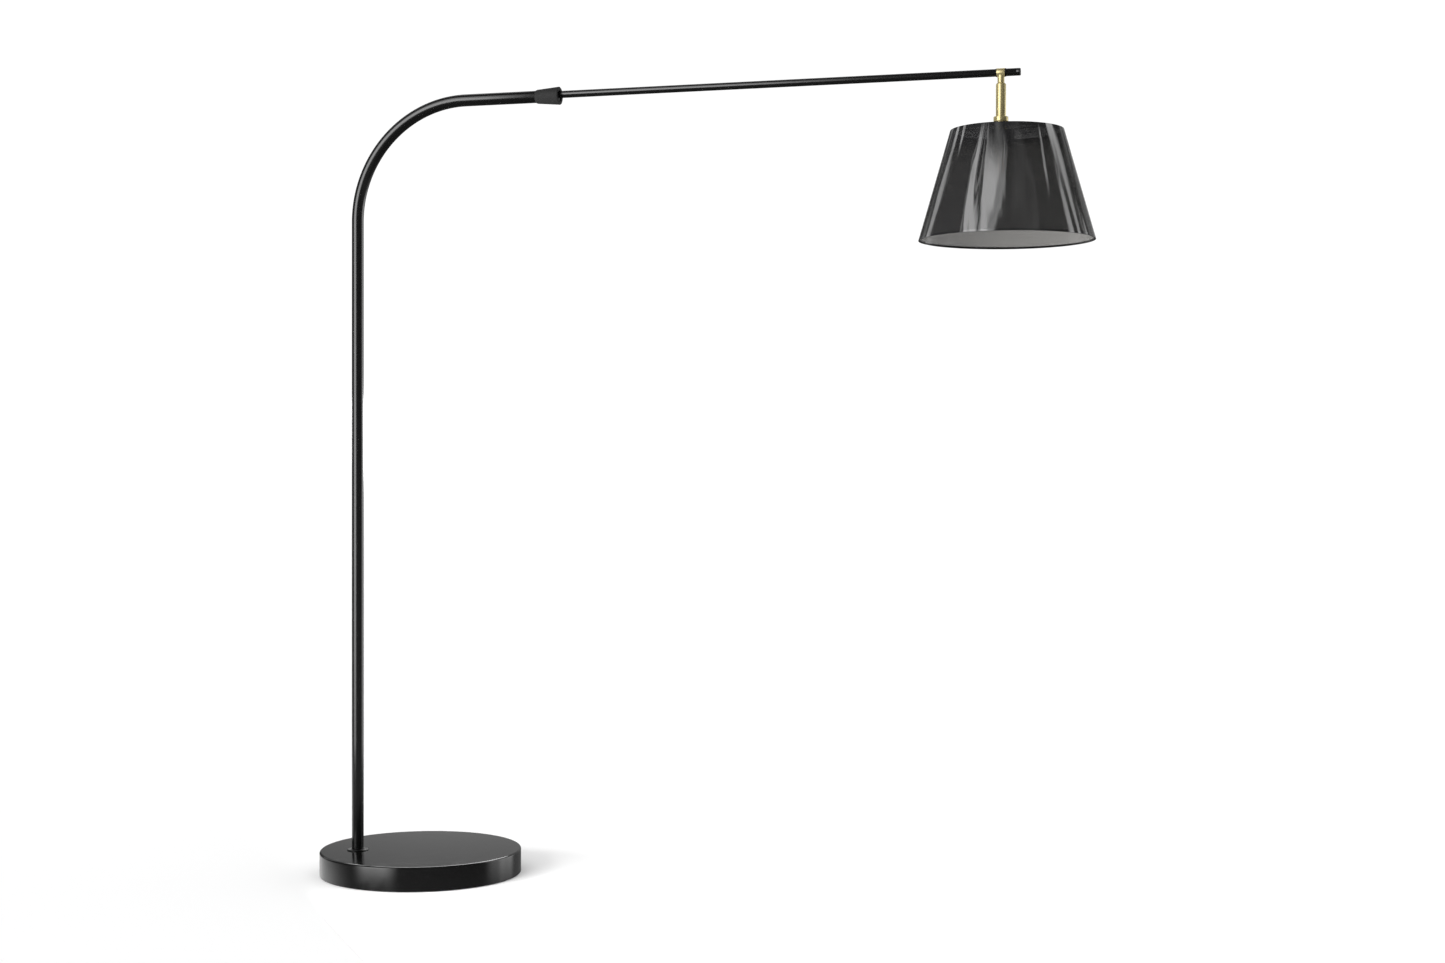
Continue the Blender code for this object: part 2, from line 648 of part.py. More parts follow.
def foot_fasteners(body):
    """The washer, the split spring washer and the nut that hold the stud in the base."""
    steel = finish("fastener_zinc", (0.6, 0.6, 0.62), 0.35, 1.0)
    foot = upright(POLE_X, POLE_Y)
    turned(
        "foot_washer", tube_outline(STUD_HOLE_R, WASHER_R, WASHER_Z, WASHER_Z + WASHER_T), steel, foot, body,
    )
    spring = turned(
        "foot_spring_washer", tube_outline(STUD_HOLE_R, SPRING_R, SPRING_Z, SPRING_Z + SPRING_T),
        steel, foot, body,
    )
    low = (0, -SPRING_SPLIT / 2, SPRING_Z - PAST)
    high = (2 * SPRING_R, SPRING_SPLIT / 2, SPRING_Z + SPRING_T + PAST)
    combine(spring, block("spring_split", low, high, steel, foot, None), "DIFFERENCE")
    nut = turned("foot_nut", rod_outline(NUT_R, NUT_Z, NUT_Z + NUT_T), steel, foot, body, HEX_SIDES)
    drill(nut, "foot_nut_hole", STUD_HOLE_R, NUT_Z - PAST, NUT_Z + NUT_T + PAST, foot)


def collar_nose(body):
    """The threaded nose on the column's end, which the collar screws along."""
    outline = [
        (NOSE_R, NOSE_END), (NOSE_R, NOSE_START), (POLE_R + GAP, NOSE_START),
        (POLE_R + GAP, POLE_END + GAP), (POLE_BORE_R, POLE_END + GAP), (POLE_BORE_R, NOSE_END),
    ]
    turned(
        "collar_nose", outline, finish("nose_aluminium", (0.7, 0.7, 0.72), 0.35, 1.0),
        along_arm(STUB_Z), body,
    )


def grip_collet(body):
    """The split nylon collet that the collar squeezes on to the arm. Its bore is above its own axis."""
    start = NOSE_END + GAP
    outline = [
        (0, COLLET_END), (NOSE_R - COLLET_TAPER, COLLET_END), (NOSE_R, COLLET_END - COLLET_TAPER_L),
        (NOSE_R, start), (0, start),
    ]
    nylon = finish("collet_nylon", (0.02, 0.02, 0.02), 0.45)
    collet = turned("grip_collet", outline, nylon, along_arm(STUB_Z), body)
    drill(collet, "collet_bore", ARM_HOLE_R, start - PAST, COLLET_END + PAST, along_arm(ARM_Z))
    low = (start - PAST, -COLLET_SLIT_W / 2, 0)
    high = (COLLET_END + PAST, COLLET_SLIT_W / 2, 2 * NOSE_R)
    place = upright(POLE_X, POLE_Y, ARM_Z)
    combine(collet, block("collet_slit", low, high, nylon, place, None), "DIFFERENCE")


def clamp_collar(body):
    """The tapered twist-lock collar. Turning it draws it along the nose and closes the collet."""
    cavity_start = NOSE_START - GAP
    front = COLLAR_END - COLLAR_LIP
    outline = [
        (COLLAR_HOLE_R, COLLAR_END), (COLLAR_FRONT_R - EDGE, COLLAR_END),
        (COLLAR_FRONT_R, COLLAR_END - EDGE), (COLLAR_BACK_R, COLLAR_START + COLLAR_CHAMFER),
        (POLE_R + GAP + COLLAR_BACK_FACE, COLLAR_START), (POLE_R + GAP, COLLAR_START),
        (POLE_R + GAP, cavity_start), (COLLAR_BORE_R, cavity_start),
        (COLLAR_BORE_R, front), (COLLAR_HOLE_R, front),
    ]
    turned(
        "clamp_collar", outline, finish("collar_black", (0.025, 0.025, 0.025), 0.5),
        along_arm(STUB_Z), body, RING_SIDES,
    )


def column_lead(body):
    """The lead up the column, round its bend and into the arm's bore, where it has its slack."""
    stop = math.radians(LEAD_CENTRED)
    corner = Vector((POLE_X + BEND_R, POLE_Y, STUB_Z - BEND_R))
    rise = corner.z - POLE_FOOT_Z
    heights = [STUD_END_Z] + [POLE_FOOT_Z + share * rise for share in (0, 0.25, 0.6, 1)]
    points = [Vector((POLE_X, POLE_Y, z)) for z in heights]
    for i in range(1, 6):
        turn = stop * i / 5
        points.append(corner + BEND_R * Vector((-math.cos(turn), 0, math.sin(turn))))
    for share, degrees in ((0.5, 68), (0.95, 82)):
        turn = math.radians(degrees)
        spot = corner + BEND_R * Vector((-math.cos(turn), 0, math.sin(turn)))
        points.append(spot + share * Vector((0, -LEAD_SIDE, ARM_RISE)))
    for place in (ARM_START - ARM_PUSH, ARM_START, ARM_LEAD_START, COLUMN_LEAD_END):
        points.append(Vector((POLE_X + place, POLE_Y - LEAD_SIDE, ARM_Z)))
    lead("column_lead", points, finish("column_lead_sheath", (0.02, 0.02, 0.02), 0.5), body)


def arm_tube(body):
    """The arm: a thin tube, with a slot below the hanger for the lead."""
    steel = finish("arm_lacquer", (0.012, 0.012, 0.013), 0.2)
    arm = turned(
        "arm_tube", tube_outline(ARM_R - ARM_WALL, ARM_R, ARM_START, ARM_END), steel,
        along_arm(ARM_Z), body,
    )
    low = (-SLOT_HALF_L, -2 * ARM_R, -2 * ARM_R)
    high = (SLOT_HALF_L, 2 * ARM_R, -SLOT_TOP)
    place = upright(HANGER_X, POLE_Y, ARM_Z)
    combine(arm, block("arm_slot", low, high, steel, place, None), "DIFFERENCE")


def arm_tail(body):
    """The eccentric bush on the arm's tail, which slides in the column's bore, and its two snap rings."""
    nylon = finish("tail_nylon", (0.8, 0.79, 0.75), 0.45)
    start = ARM_START + SNAP_RING_W + 2 * GAP
    end = start + TAIL_BUSH_L
    bush_r = POLE_BORE_R * TUBE_FLAT - RUNNING
    bush = turned("arm_tail_bush", rod_outline(bush_r, start, end), nylon, along_arm(STUB_Z), body)
    drill(bush, "tail_bush_bore", ARM_HOLE_R, start - PAST, end + PAST, along_arm(ARM_Z))
    steel = finish("ring_spring_steel", (0.25, 0.25, 0.26), 0.35, 1.0)
    hole = ARM_R + GAP / 2
    for name, low in (("tail_ring_rear", ARM_START + GAP), ("tail_ring_front", end + GAP)):
        outline = tube_outline(hole, SNAP_RING_R, low, low + SNAP_RING_W)
        turned(name, outline, steel, along_arm(ARM_Z), body)


def arm_end_cap(body):
    """The turned plug that closes the arm's end."""
    plug_r = (ARM_R - ARM_WALL) * TUBE_FLAT - GAP
    head = ARM_END + GAP
    outline = [
        (0, head + CAP_HEAD_L), (ARM_R - EDGE, head + CAP_HEAD_L),
        (ARM_R, head + CAP_HEAD_L - EDGE), (ARM_R, head),
        (plug_r, head), (plug_r, ARM_END - CAP_PLUG_L), (0, ARM_END - CAP_PLUG_L),
    ]
    turned(
        "arm_end_cap", outline, finish("cap_black", (0.012, 0.012, 0.013), 0.2),
        along_arm(ARM_Z), body,
    )


def stop_rings(body):
    """The snap rings that keep the hanger's sleeve in its place along the arm."""
    black = finish("stop_ring_black", (0.01, 0.01, 0.01), 0.35)
    inner_low = HANGER - SLEEVE_L / 2 - GAP - SNAP_RING_W
    outer_low = HANGER + SLEEVE_L / 2 + GAP
    for name, low in (("stop_ring_inner", inner_low), ("stop_ring_outer", outer_low)):
        outline = tube_outline(ARM_R + GAP / 2, SNAP_RING_R, low, low + SNAP_RING_W)
        turned(name, outline, black, along_arm(ARM_Z), body)


def arm_lead(body):
    """The lead along the arm, from beside the column's lead to the hanger."""
    past = COLUMN_LEAD_END + ARM_PUSH + LEAD_SETTLE
    centred = past + LEAD_EASE
    beside = (ARM_LEAD_START, COLUMN_LEAD_END, past)
    points = [(POLE_X + place, POLE_Y + LEAD_SIDE, ARM_Z) for place in beside]
    end = HANGER - LEAD_R - EDGE
    points += [(POLE_X + place, POLE_Y, ARM_Z) for place in (centred, (centred + end) / 2, end)]
    lead("arm_lead", points, finish("arm_lead_sheath", (0.02, 0.02, 0.02), 0.5), body)


def tee_sleeve(body):
    """The brass tee: a sleeve that turns on the arm, and the neck below it."""
    brass = finish("tee_brass", (0.80, 0.66, 0.34), 0.22, 1.0)
    low, high = HANGER - SLEEVE_L / 2, HANGER + SLEEVE_L / 2
    outline = [
        (0, high), (SLEEVE_R - SLEEVE_EDGE, high), (SLEEVE_R, high - SLEEVE_EDGE),
        (SLEEVE_R, low + SLEEVE_EDGE), (SLEEVE_R - SLEEVE_EDGE, low), (0, low),
    ]
    tee = turned("tee_sleeve", outline, brass, along_arm(ARM_Z), body)
    drop = upright(HANGER_X, POLE_Y)
    neck = turned("tee_neck", rod_outline(NECK_R, NECK_Z, ARM_Z - SLEEVE_R / 2), brass, drop, None)
    combine(tee, neck, "UNION")
    drill(tee, "tee_bore", ARM_HOLE_R, low - PAST, high + PAST, along_arm(ARM_Z))
    thread_top = NECK_Z + NIPPLE_IN_NECK
    stepped = [
        (0, ARM_Z), (NIPPLE_BORE_R, ARM_Z), (NIPPLE_BORE_R, thread_top),
        (NIPPLE_HOLE_R, thread_top), (NIPPLE_HOLE_R, NECK_Z - PAST), (0, NECK_Z - PAST),
    ]
    combine(tee, turned("tee_hole", stepped, brass, drop, None, SMALL_SIDES), "DIFFERENCE")


def stem(body):
    """The brass stem: a tube and a shade flange on a threaded nipple, with the nut that pulls them tight."""
    brass = finish("stem_brass", (0.80, 0.66, 0.34), 0.22, 1.0)
    drop = upright(HANGER_X, POLE_Y)
    hole = NIPPLE_HOLE_R
    nipple_top = NECK_Z + NIPPLE_IN_NECK - GAP
    turned(
        "stem_nipple", tube_outline(NIPPLE_BORE_R, NIPPLE_R, NIPPLE_END_Z, nipple_top),
        finish("nipple_steel", (0.6, 0.6, 0.62), 0.35, 1.0), drop, body, SMALL_SIDES,
    )
    tube = [
        (hole, STEM_TOP_Z), (STEM_R - STEM_CHAMFER, STEM_TOP_Z), (STEM_R, STEM_TOP_Z - STEM_CHAMFER),
        (STEM_R, STEM_BOTTOM_Z), (hole, STEM_BOTTOM_Z),
    ]
    turned("stem_tube", tube, brass, drop, body)
    shelf = FLANGE_Z - STEM_FLANGE_L
    flange = [
        (hole, FLANGE_Z), (STEM_FLANGE_R - EDGE, FLANGE_Z), (STEM_FLANGE_R, FLANGE_Z - EDGE),
        (STEM_FLANGE_R, shelf + EDGE), (STEM_FLANGE_R - EDGE, shelf),
        (STEM_FOOT_R, shelf), (STEM_FOOT_R, FLANGE_BOTTOM_Z), (hole, FLANGE_BOTTOM_Z),
    ]
    turned("stem_flange", flange, brass, drop, body)
    steel = finish("nipple_nut_zinc", (0.6, 0.6, 0.62), 0.35, 1.0)
    top = NIPPLE_NUT_Z + NIPPLE_NUT_T
    nut = turned("nipple_nut", rod_outline(NIPPLE_NUT_R, NIPPLE_NUT_Z, top), steel, drop, body, HEX_SIDES)
    drill(nut, "nipple_nut_hole", hole, NIPPLE_NUT_Z - PAST, top + PAST, drop, SMALL_SIDES)


def stem_lead(body):
    """The lead from the arm's axis, down the stem, to the lamp holder."""
    heights = (ARM_Z, NECK_Z + NIPPLE_IN_NECK, STEM_BOTTOM_Z, NIPPLE_END_Z)
    points = [(HANGER_X, POLE_Y, z) for z in heights]
    lead("stem_lead", points, finish("stem_lead_sheath", (0.02, 0.02, 0.02), 0.5), body)


def holder_cup(body):
    """The steel cup over the lamp holder, open below."""
    bottom = CUP_TOP_Z - HOLDER_CUP_L
    centre = (HOLDER_CUP_R - CUP_EDGE, CUP_TOP_Z - CUP_EDGE)
    outline = [(NIPPLE_HOLE_R, CUP_TOP_Z)] + arc(CUP_EDGE, centre, 90, 0, 4)
    outline += [(HOLDER_CUP_R, bottom), (HOLDER_CUP_R - HOLDER_CUP_T, bottom)]
    outline += arc(CUP_EDGE - HOLDER_CUP_T, centre, 0, 90, 4)
    outline += [(NIPPLE_HOLE_R, CUP_TOP_Z - HOLDER_CUP_T)]
    turned(
        "holder_cup", outline, finish("cup_black", (0.012, 0.012, 0.013), 0.35),
        upright(HANGER_X, POLE_Y), body, CUP_SIDES,
    )


def holder_insulator(body):
    """The moulded insulator of the lamp holder, hung in the cup."""
    outline = [
        (LEAD_R + GAP, INSULATOR_Z), (INSULATOR_R, INSULATOR_Z),
        (INSULATOR_R, INSULATOR_BOTTOM_Z), (INSULATOR_IN_R, INSULATOR_BOTTOM_Z),
        (INSULATOR_IN_R, INSULATOR_Z - INSULATOR_TOP), (LEAD_R + GAP, INSULATOR_Z - INSULATOR_TOP),
    ]
    turned(
        "holder_insulator", outline, finish("insulator_phenolic", (0.03, 0.025, 0.022), 0.4),
        upright(HANGER_X, POLE_Y), body, CUP_SIDES,
    )


def screw_outline(radius, wall, low, high):
    """The rippled wall of a screw shell or a lamp cap."""
    count = 2 * int((high - low - 2 * SCREW_PLAIN) / SCREW_PITCH)
    heights = [high - SCREW_PLAIN - i * SCREW_PITCH / 2 for i in range(count)]
    outer = [(radius - (i % 2) * SCREW_RIPPLE, z) for i, z in enumerate(heights)]
    outer = [(radius - SCREW_RIPPLE, high)] + outer + [(radius - SCREW_RIPPLE, low)]
    return outer + [(r - wall, z) for r, z in reversed(outer)]


def holder_contacts(body):
    """The holder's brass screw shell and its centre contact."""
    brass = finish("contact_brass", (0.78, 0.6, 0.3), 0.3, 1.0)
    drop = upright(HANGER_X, POLE_Y)
    outline = screw_outline(SHELL_R, SCREW_SHELL_T, INSULATOR_BOTTOM_Z + SHELL_IN, SHELL_TOP_Z)
    turned("screw_shell", outline, brass, drop, body, SMALL_SIDES)
    low = SHELL_TOP_Z - CONTACT_T
    turned("centre_contact", rod_outline(CONTACT_R, low, SHELL_TOP_Z), brass, drop, body, SMALL_SIDES)


def bulb_cap(body):
    """The bulb's screw cap, with its solder contact on a glass button."""
    steel = finish("lamp_cap_nickel", (0.75, 0.74, 0.7), 0.25, 1.0)
    drop = upright(HANGER_X, POLE_Y)
    outline = screw_outline(BULB_CAP_R, BULB_CAP_T, CAP_BOTTOM_Z, CAP_TOP_Z - BUTTON_T)
    turned("bulb_cap", outline, steel, drop, body, SMALL_SIDES)
    low, high = CAP_TOP_Z - BUTTON_T + GAP, CAP_TOP_Z
    button = [(0, high), (CONTACT_R, high), (BULB_CAP_R - SCREW_RIPPLE - BUTTON_INSET, low), (0, low)]
    black = finish("cap_button_glass", (0.02, 0.02, 0.03), 0.15)
    turned("bulb_button", button, black, drop, body, SMALL_SIDES)


def bulb_glass(body):
    """The tubular glass bulb, open at the neck where the cap holds it."""
    shoulder = GLASS_TOP_Z - BULB_NECK_L
    tip = (BULB_GLASS_R - BULB_TIP_R, GLASS_TIP_Z + BULB_TIP_R)
    outer = [(BULB_NECK_R, GLASS_TOP_Z), (BULB_NECK_R, shoulder)]
    outer += [(BULB_GLASS_R, shoulder - BULB_SHOULDER)]
    outer += arc(BULB_TIP_R, tip, 0, -90, 6) + [(0, GLASS_TIP_Z)]
    inner_tip = arc(BULB_TIP_R - BULB_GLASS_T, tip, -90, 0, 6)
    inner = [(0, GLASS_TIP_Z + BULB_GLASS_T)] + inner_tip
    inner += [(BULB_GLASS_R - BULB_GLASS_T, shoulder - BULB_SHOULDER)]
    inner += [(BULB_NECK_R - BULB_GLASS_T, shoulder), (BULB_NECK_R - BULB_GLASS_T, GLASS_TOP_Z)]
    bm = bmesh.new()
    points = [bm.verts.new((radius, 0, height)) for radius, height in outer + inner]
    edges = [bm.edges.new((points[i], points[i + 1])) for i in range(len(outer) - 1)]
    split = len(outer)
    edges += [bm.edges.new((points[i], points[i + 1])) for i in range(split, len(points) - 1)]
    edges += [bm.edges.new((points[-1], points[0]))]
    bmesh.ops.spin(
        bm, geom=points + edges, cent=(0, 0, 0), axis=(0, 0, 1),
        angle=2 * math.pi, steps=TUBE_SIDES, use_merge=True,
    )
    bmesh.ops.remove_doubles(bm, verts=bm.verts, dist=1e-7)
    glass = finish("bulb_glass_clear", (0.95, 0.93, 0.88), 0.03, 0.0, 0.3)
    solid("bulb_glass", bm, glass, upright(HANGER_X, POLE_Y), body)


def bulb_inside(body):
    """The glass mount on the bulb's axis, four filaments and the ring that links their ends."""
    drop = upright(HANGER_X, POLE_Y)
    top = CAP_BOTTOM_Z + MOUNT_IN_CAP
    shelf = top - MOUNT_L
    plate_r = FILAMENT_CIRCLE_R + FILAMENT_R
    mount = [
        (0, top), (MOUNT_R + MOUNT_FLARE_W, top), (MOUNT_R, top - MOUNT_FLARE_L), (MOUNT_R, shelf + EDGE),
        (plate_r, shelf + EDGE), (plate_r, shelf), (0, shelf),
    ]
    turned("filament_mount", mount, finish("mount_glass", (0.8, 0.8, 0.78), 0.1), drop, body, SMALL_SIDES)
    filament_top = shelf - GAP
    low = filament_top - FILAMENT_L
    gold = finish("filament_amber", (0.95, 0.62, 0.12), 0.5)
    for number in range(FILAMENTS):
        turn = math.tau * (number + 0.5) / FILAMENTS
        x = HANGER_X + FILAMENT_CIRCLE_R * math.cos(turn)
        y = POLE_Y + FILAMENT_CIRCLE_R * math.sin(turn)
        outline = rod_outline(FILAMENT_R, low, filament_top)
        turned(f"filament_{number + 1}", outline, gold, upright(x, y), body, FILAMENT_SIDES)
    link = tube_outline(FILAMENT_CIRCLE_R - FILAMENT_R, plate_r, low - GAP - EDGE, low - GAP)
    wire = finish("filament_wire", (0.5, 0.5, 0.5), 0.3, 1.0)
    turned("filament_link", link, wire, drop, body, SMALL_SIDES)


def cone_radius(z):
    """The outside radius of the shade at a height."""
    share = (SHADE_TOP_Z - z) / (SHADE_TOP_Z - SHADE_BOTTOM_Z)
    return SHADE_TOP_R + share * (SHADE_BOTTOM_R - SHADE_TOP_R)


def cone_outline(inset, wall, low, high):
    """The wall of a cone that lies this far inside the shade's outside."""
    ends = [(cone_radius(high) - inset, high), (cone_radius(low) - inset, low)]
    return ends + [(radius - wall, z) for radius, z in reversed(ends)]


def shade(body):
    """The tapered shade: its smoked sheet, the satin lining and the wire in its lower edge."""
    axis = upright(SHADE_X, POLE_Y)
    turned(
        "shade_shell", cone_outline(0, SHADE_T, SHADE_BOTTOM_Z, SHADE_TOP_Z),
        finish("shade_smoke", (0.05, 0.05, 0.052), 0.08, 0.6, 0.9), axis, body, BIG_SIDES,
    )
    lining_in = SHADE_T + GAP
    turned(
        "shade_lining",
        cone_outline(lining_in, LINING_T, SHADE_BOTTOM_Z + LINING_FROM_BOTTOM, SHADE_TOP_Z - LINING_FROM_TOP),
        finish("lining_silver", (0.55, 0.54, 0.52), 0.4, 0.5), axis, body, BIG_SIDES,
    )
    wire_z = SHADE_BOTTOM_Z + RIM_WIRE_R
    wire_in = SHADE_T + GAP + RIM_WIRE_R
    turned(
        "shade_rim_wire", arc(RIM_WIRE_R, (cone_radius(wire_z) - wire_in, wire_z), 0, 300, 5),
        finish("rim_wire_black", (0.02, 0.02, 0.02), 0.4), axis, body, BIG_SIDES,
    )


def shade_spider(body):
    """The wire ring in the shade's top edge, its spokes and the hub that the stem clamps."""
    steel = finish("spider_black", (0.02, 0.02, 0.02), 0.4)
    ring_z = SHADE_TOP_Z - RIM_WIRE_R - RING_BELOW
    ring_r = cone_radius(SHADE_TOP_Z) - SHADE_T - GAP - RIM_WIRE_R
    outline = arc(RIM_WIRE_R, (ring_r, ring_z), 0, 300, 5)
    spider = turned("shade_spider", outline, steel, upright(SHADE_X, POLE_Y), body, BIG_SIDES)
    hub_low = HUB_TOP_Z - HUB_T
    hub = turned(
        "spider_hub", tube_outline(NIPPLE_HOLE_R, HUB_R, hub_low, HUB_TOP_Z), steel,
        upright(HANGER_X, POLE_Y), None, CUP_SIDES,
    )
    for number in range(SPOKES):
        turn = 2 * math.pi * number / SPOKES + math.pi / 2
        rim = Vector((SHADE_X + ring_r * math.cos(turn), POLE_Y + ring_r * math.sin(turn), ring_z))
        centre = Vector((HANGER_X, POLE_Y, HUB_TOP_Z - SPOKE_T / 2))
        run = rim - centre
        aim = run.to_track_quat("X", "Z").to_matrix().to_4x4()
        low = (HUB_R - SPOKE_LAP, -SPOKE_W / 2, -SPOKE_T / 2)
        high = (run.length, SPOKE_W / 2, SPOKE_T / 2)
        place = Matrix.Translation(centre) @ aim
        spoke = block(f"spider_spoke_{number + 1}", low, high, steel, place, None)
        combine(spider, spoke, "UNION")
    combine(spider, hub, "UNION")


for leftover in list(bpy.data.objects):
    bpy.data.objects.remove(leftover)

base = axis_empty("base_frame", (0, 0, 0))
column = axis_empty("column_swivel_axis", (POLE_X, POLE_Y, POLE_FOOT_Z), base)
collar = axis_empty("collar_twist_axis", (POLE_X + COLLAR_START, POLE_Y, STUB_Z), column)
arm = axis_empty("arm_slide_axis", (POLE_X + ARM_START, POLE_Y, ARM_Z), column)
hanger = axis_empty("hanger_swing_axis", (HANGER_X, POLE_Y, ARM_Z), arm)

for make in (
    base_pad, base_plate, plate_screws, base_weight, base_cover,
    cord_grommet, base_lead, foot_ring, foot_bush,
):
    make(base)
for make in (pole_tube, foot_plug, foot_fasteners, collar_nose, grip_collet, column_lead):
    make(column)
clamp_collar(collar)
for make in (arm_tube, arm_tail, arm_end_cap, stop_rings, arm_lead):
    make(arm)
for make in (
    tee_sleeve, stem, stem_lead, holder_cup, holder_insulator, holder_contacts,
    bulb_cap, bulb_glass, bulb_inside, shade_spider, shade,
):
    make(hanger)
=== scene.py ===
"""Looks of the adjustable arm floor lamp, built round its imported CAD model. In metres, with the arm along +X."""

import math

import bpy
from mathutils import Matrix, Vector


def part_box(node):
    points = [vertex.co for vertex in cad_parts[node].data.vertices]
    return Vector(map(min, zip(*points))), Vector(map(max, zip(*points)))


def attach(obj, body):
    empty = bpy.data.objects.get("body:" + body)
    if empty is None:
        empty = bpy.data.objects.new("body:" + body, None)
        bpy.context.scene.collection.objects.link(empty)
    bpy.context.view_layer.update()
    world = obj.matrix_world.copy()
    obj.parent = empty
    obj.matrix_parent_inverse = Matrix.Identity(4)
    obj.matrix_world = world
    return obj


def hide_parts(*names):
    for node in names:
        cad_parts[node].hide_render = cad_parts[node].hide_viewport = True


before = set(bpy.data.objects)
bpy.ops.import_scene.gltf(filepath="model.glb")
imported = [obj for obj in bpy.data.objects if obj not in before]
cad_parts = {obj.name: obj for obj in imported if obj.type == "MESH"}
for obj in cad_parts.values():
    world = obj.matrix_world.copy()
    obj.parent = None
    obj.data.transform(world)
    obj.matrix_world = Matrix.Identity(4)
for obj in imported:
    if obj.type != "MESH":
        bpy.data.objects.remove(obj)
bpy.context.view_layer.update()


# ---- Camera -----------------------------------------------------------------------------------------
# Stands in front of the lamp and to its right, on a low tripod. It looks almost level across it, a little to the
# left, and takes in the whole lamp with white all round.
camera_data = bpy.data.cameras.new("camera")
camera_data.lens = 51.5
camera_data.sensor_width = 36.0
camera = bpy.data.objects.new("camera", camera_data)
camera.location = (1.8383, -4.1543, 0.8861)
camera.rotation_euler = (math.radians(90 - 0.441), math.radians(-0.08), math.radians(15.575))
bpy.context.scene.collection.objects.link(camera)
bpy.context.scene.camera = camera
bpy.context.scene.view_settings.view_transform = "Standard"


# ---- Studio -----------------------------------------------------------------------------------------
# A white cove with soft boxes. The tall one at the front left draws the bright line down the column, the high ones
# show as upright streaks in the shade, and those at the right edge the brass. A low window throws the shadows.
def add_node(tree, kind, inputs=(), **settings):
    """Adds a node, sets its own settings, and sets or links its inputs, given as {socket: value or output}."""
    node = tree.nodes.new(kind)
    for setting, value in settings.items():
        setattr(node, setting, value)
    for socket, value in dict(inputs).items():
        if isinstance(value, bpy.types.NodeSocket):
            tree.links.new(value, node.inputs[socket])
        else:
            node.inputs[socket].default_value = value
    return node


world = bpy.data.worlds.new("studio")
world.use_nodes = True
bpy.context.scene.world = world
tree = world.node_tree
tree.nodes.clear()
aim = add_node(tree, "ShaderNodeTexCoord").outputs["Generated"]
split = add_node(tree, "ShaderNodeSeparateXYZ", {0: aim})
forward = add_node(tree, "ShaderNodeMath", {0: split.outputs["Y"], 1: -1.0}, operation="MULTIPLY").outputs[0]
bearing = add_node(tree, "ShaderNodeMath", {0: split.outputs["X"], 1: forward}, operation="ARCTAN2").outputs[0]
height = add_node(tree, "ShaderNodeMath", {0: split.outputs["Z"]}, operation="ARCSINE").outputs[0]


def soft_box(glow, bearings, heights, soft, strength):
    """Adds a soft box between two bearings and two heights, in degrees, to the glow. Soft is half of each edge."""
    for value, start, end in (
        (bearing, bearings[0] - soft[0], bearings[0] + soft[0]),
        (bearing, bearings[1] + soft[0], bearings[1] - soft[0]),
        (height, heights[0] - soft[1], heights[0] + soft[1]),
        (height, heights[1] + soft[1], heights[1] - soft[1]),
    ):
        edge = add_node(
            tree, "ShaderNodeMapRange",
            {0: value, 1: math.radians(start), 2: math.radians(end), 3: 0.0, 4: 1.0},
            interpolation_type="SMOOTHSTEP",
        ).outputs[0]
        strength = add_node(tree, "ShaderNodeMath", {0: strength, 1: edge}, operation="MULTIPLY").outputs[0]
    return add_node(tree, "ShaderNodeMath", {0: glow, 1: strength}, operation="ADD").outputs[0]


# A bearing of 0 is straight in front of the lamp, and it grows towards the shade's end. Behind is 180 or -180.
dark_of_room, white_backdrop, even_cove = 0.06, 1.05, 0.84
glow = dark_of_room
# The tall box at the front left.
glow = soft_box(glow, (-50, -10), (-8, 27), (10, 2), 3.4)
# Three high banks over it, with dark gaps between them, and a faint one to their right.
glow = soft_box(glow, (-62, -54), (27, 47), (3, 3), 0.6)
glow = soft_box(glow, (-46, -15), (27, 49), (6, 4), 1.8)
glow = soft_box(glow, (-12, -6), (27, 49), (4, 4), 1.0)
glow = soft_box(glow, (28, 52), (15, 60), (12, 12), 0.08)
# Two slim boxes at the right behind the lamp, and one at the left behind it.
glow = soft_box(glow, (107, 131), (-9, 45), (7, 4), 1.2)
glow = soft_box(glow, (126, 152), (-9, 10), (6, 4), 1.8)
glow = soft_box(glow, (-126, -116), (12, 50), (5, 5), 1.2)
# The cove's back wall, low and high, on both sides of the bearing's seam.
for low, high in ((150, 230), (-230, -150)):
    glow = soft_box(glow, (low, high), (-5, 30), (8, 8), 0.24)
for low, high in ((130, 230), (-230, -130)):
    glow = soft_box(glow, (low, high), (40, 70), (8, 8), 0.9)
# The lit floor round the lamp.
glow = soft_box(glow, (-150, -80), (-26, -8), (25, 3), 0.9)
glow = soft_box(glow, (110, 160), (-26, -7), (25, 3), 0.12)
glow = soft_box(glow, (-200, 200), (-24, -7), (5, 5), 0.08)
# The gloss mirrors the boxes. The cove itself is an even white, as the camera sees it and as it lights matt faces.
kind = add_node(tree, "ShaderNodeLightPath")
seen = {0: kind.outputs["Is Camera Ray"], 2: glow, 3: white_backdrop}
level = add_node(tree, "ShaderNodeMix", seen).outputs[0]
lit = {0: kind.outputs["Is Diffuse Ray"], 2: level, 3: even_cove}
level = add_node(tree, "ShaderNodeMix", lit).outputs[0]
cove = add_node(tree, "ShaderNodeBackground", {"Color": (1, 1, 1, 1), "Strength": level})
add_node(tree, "ShaderNodeOutputWorld", {"Surface": cove.outputs[0]})

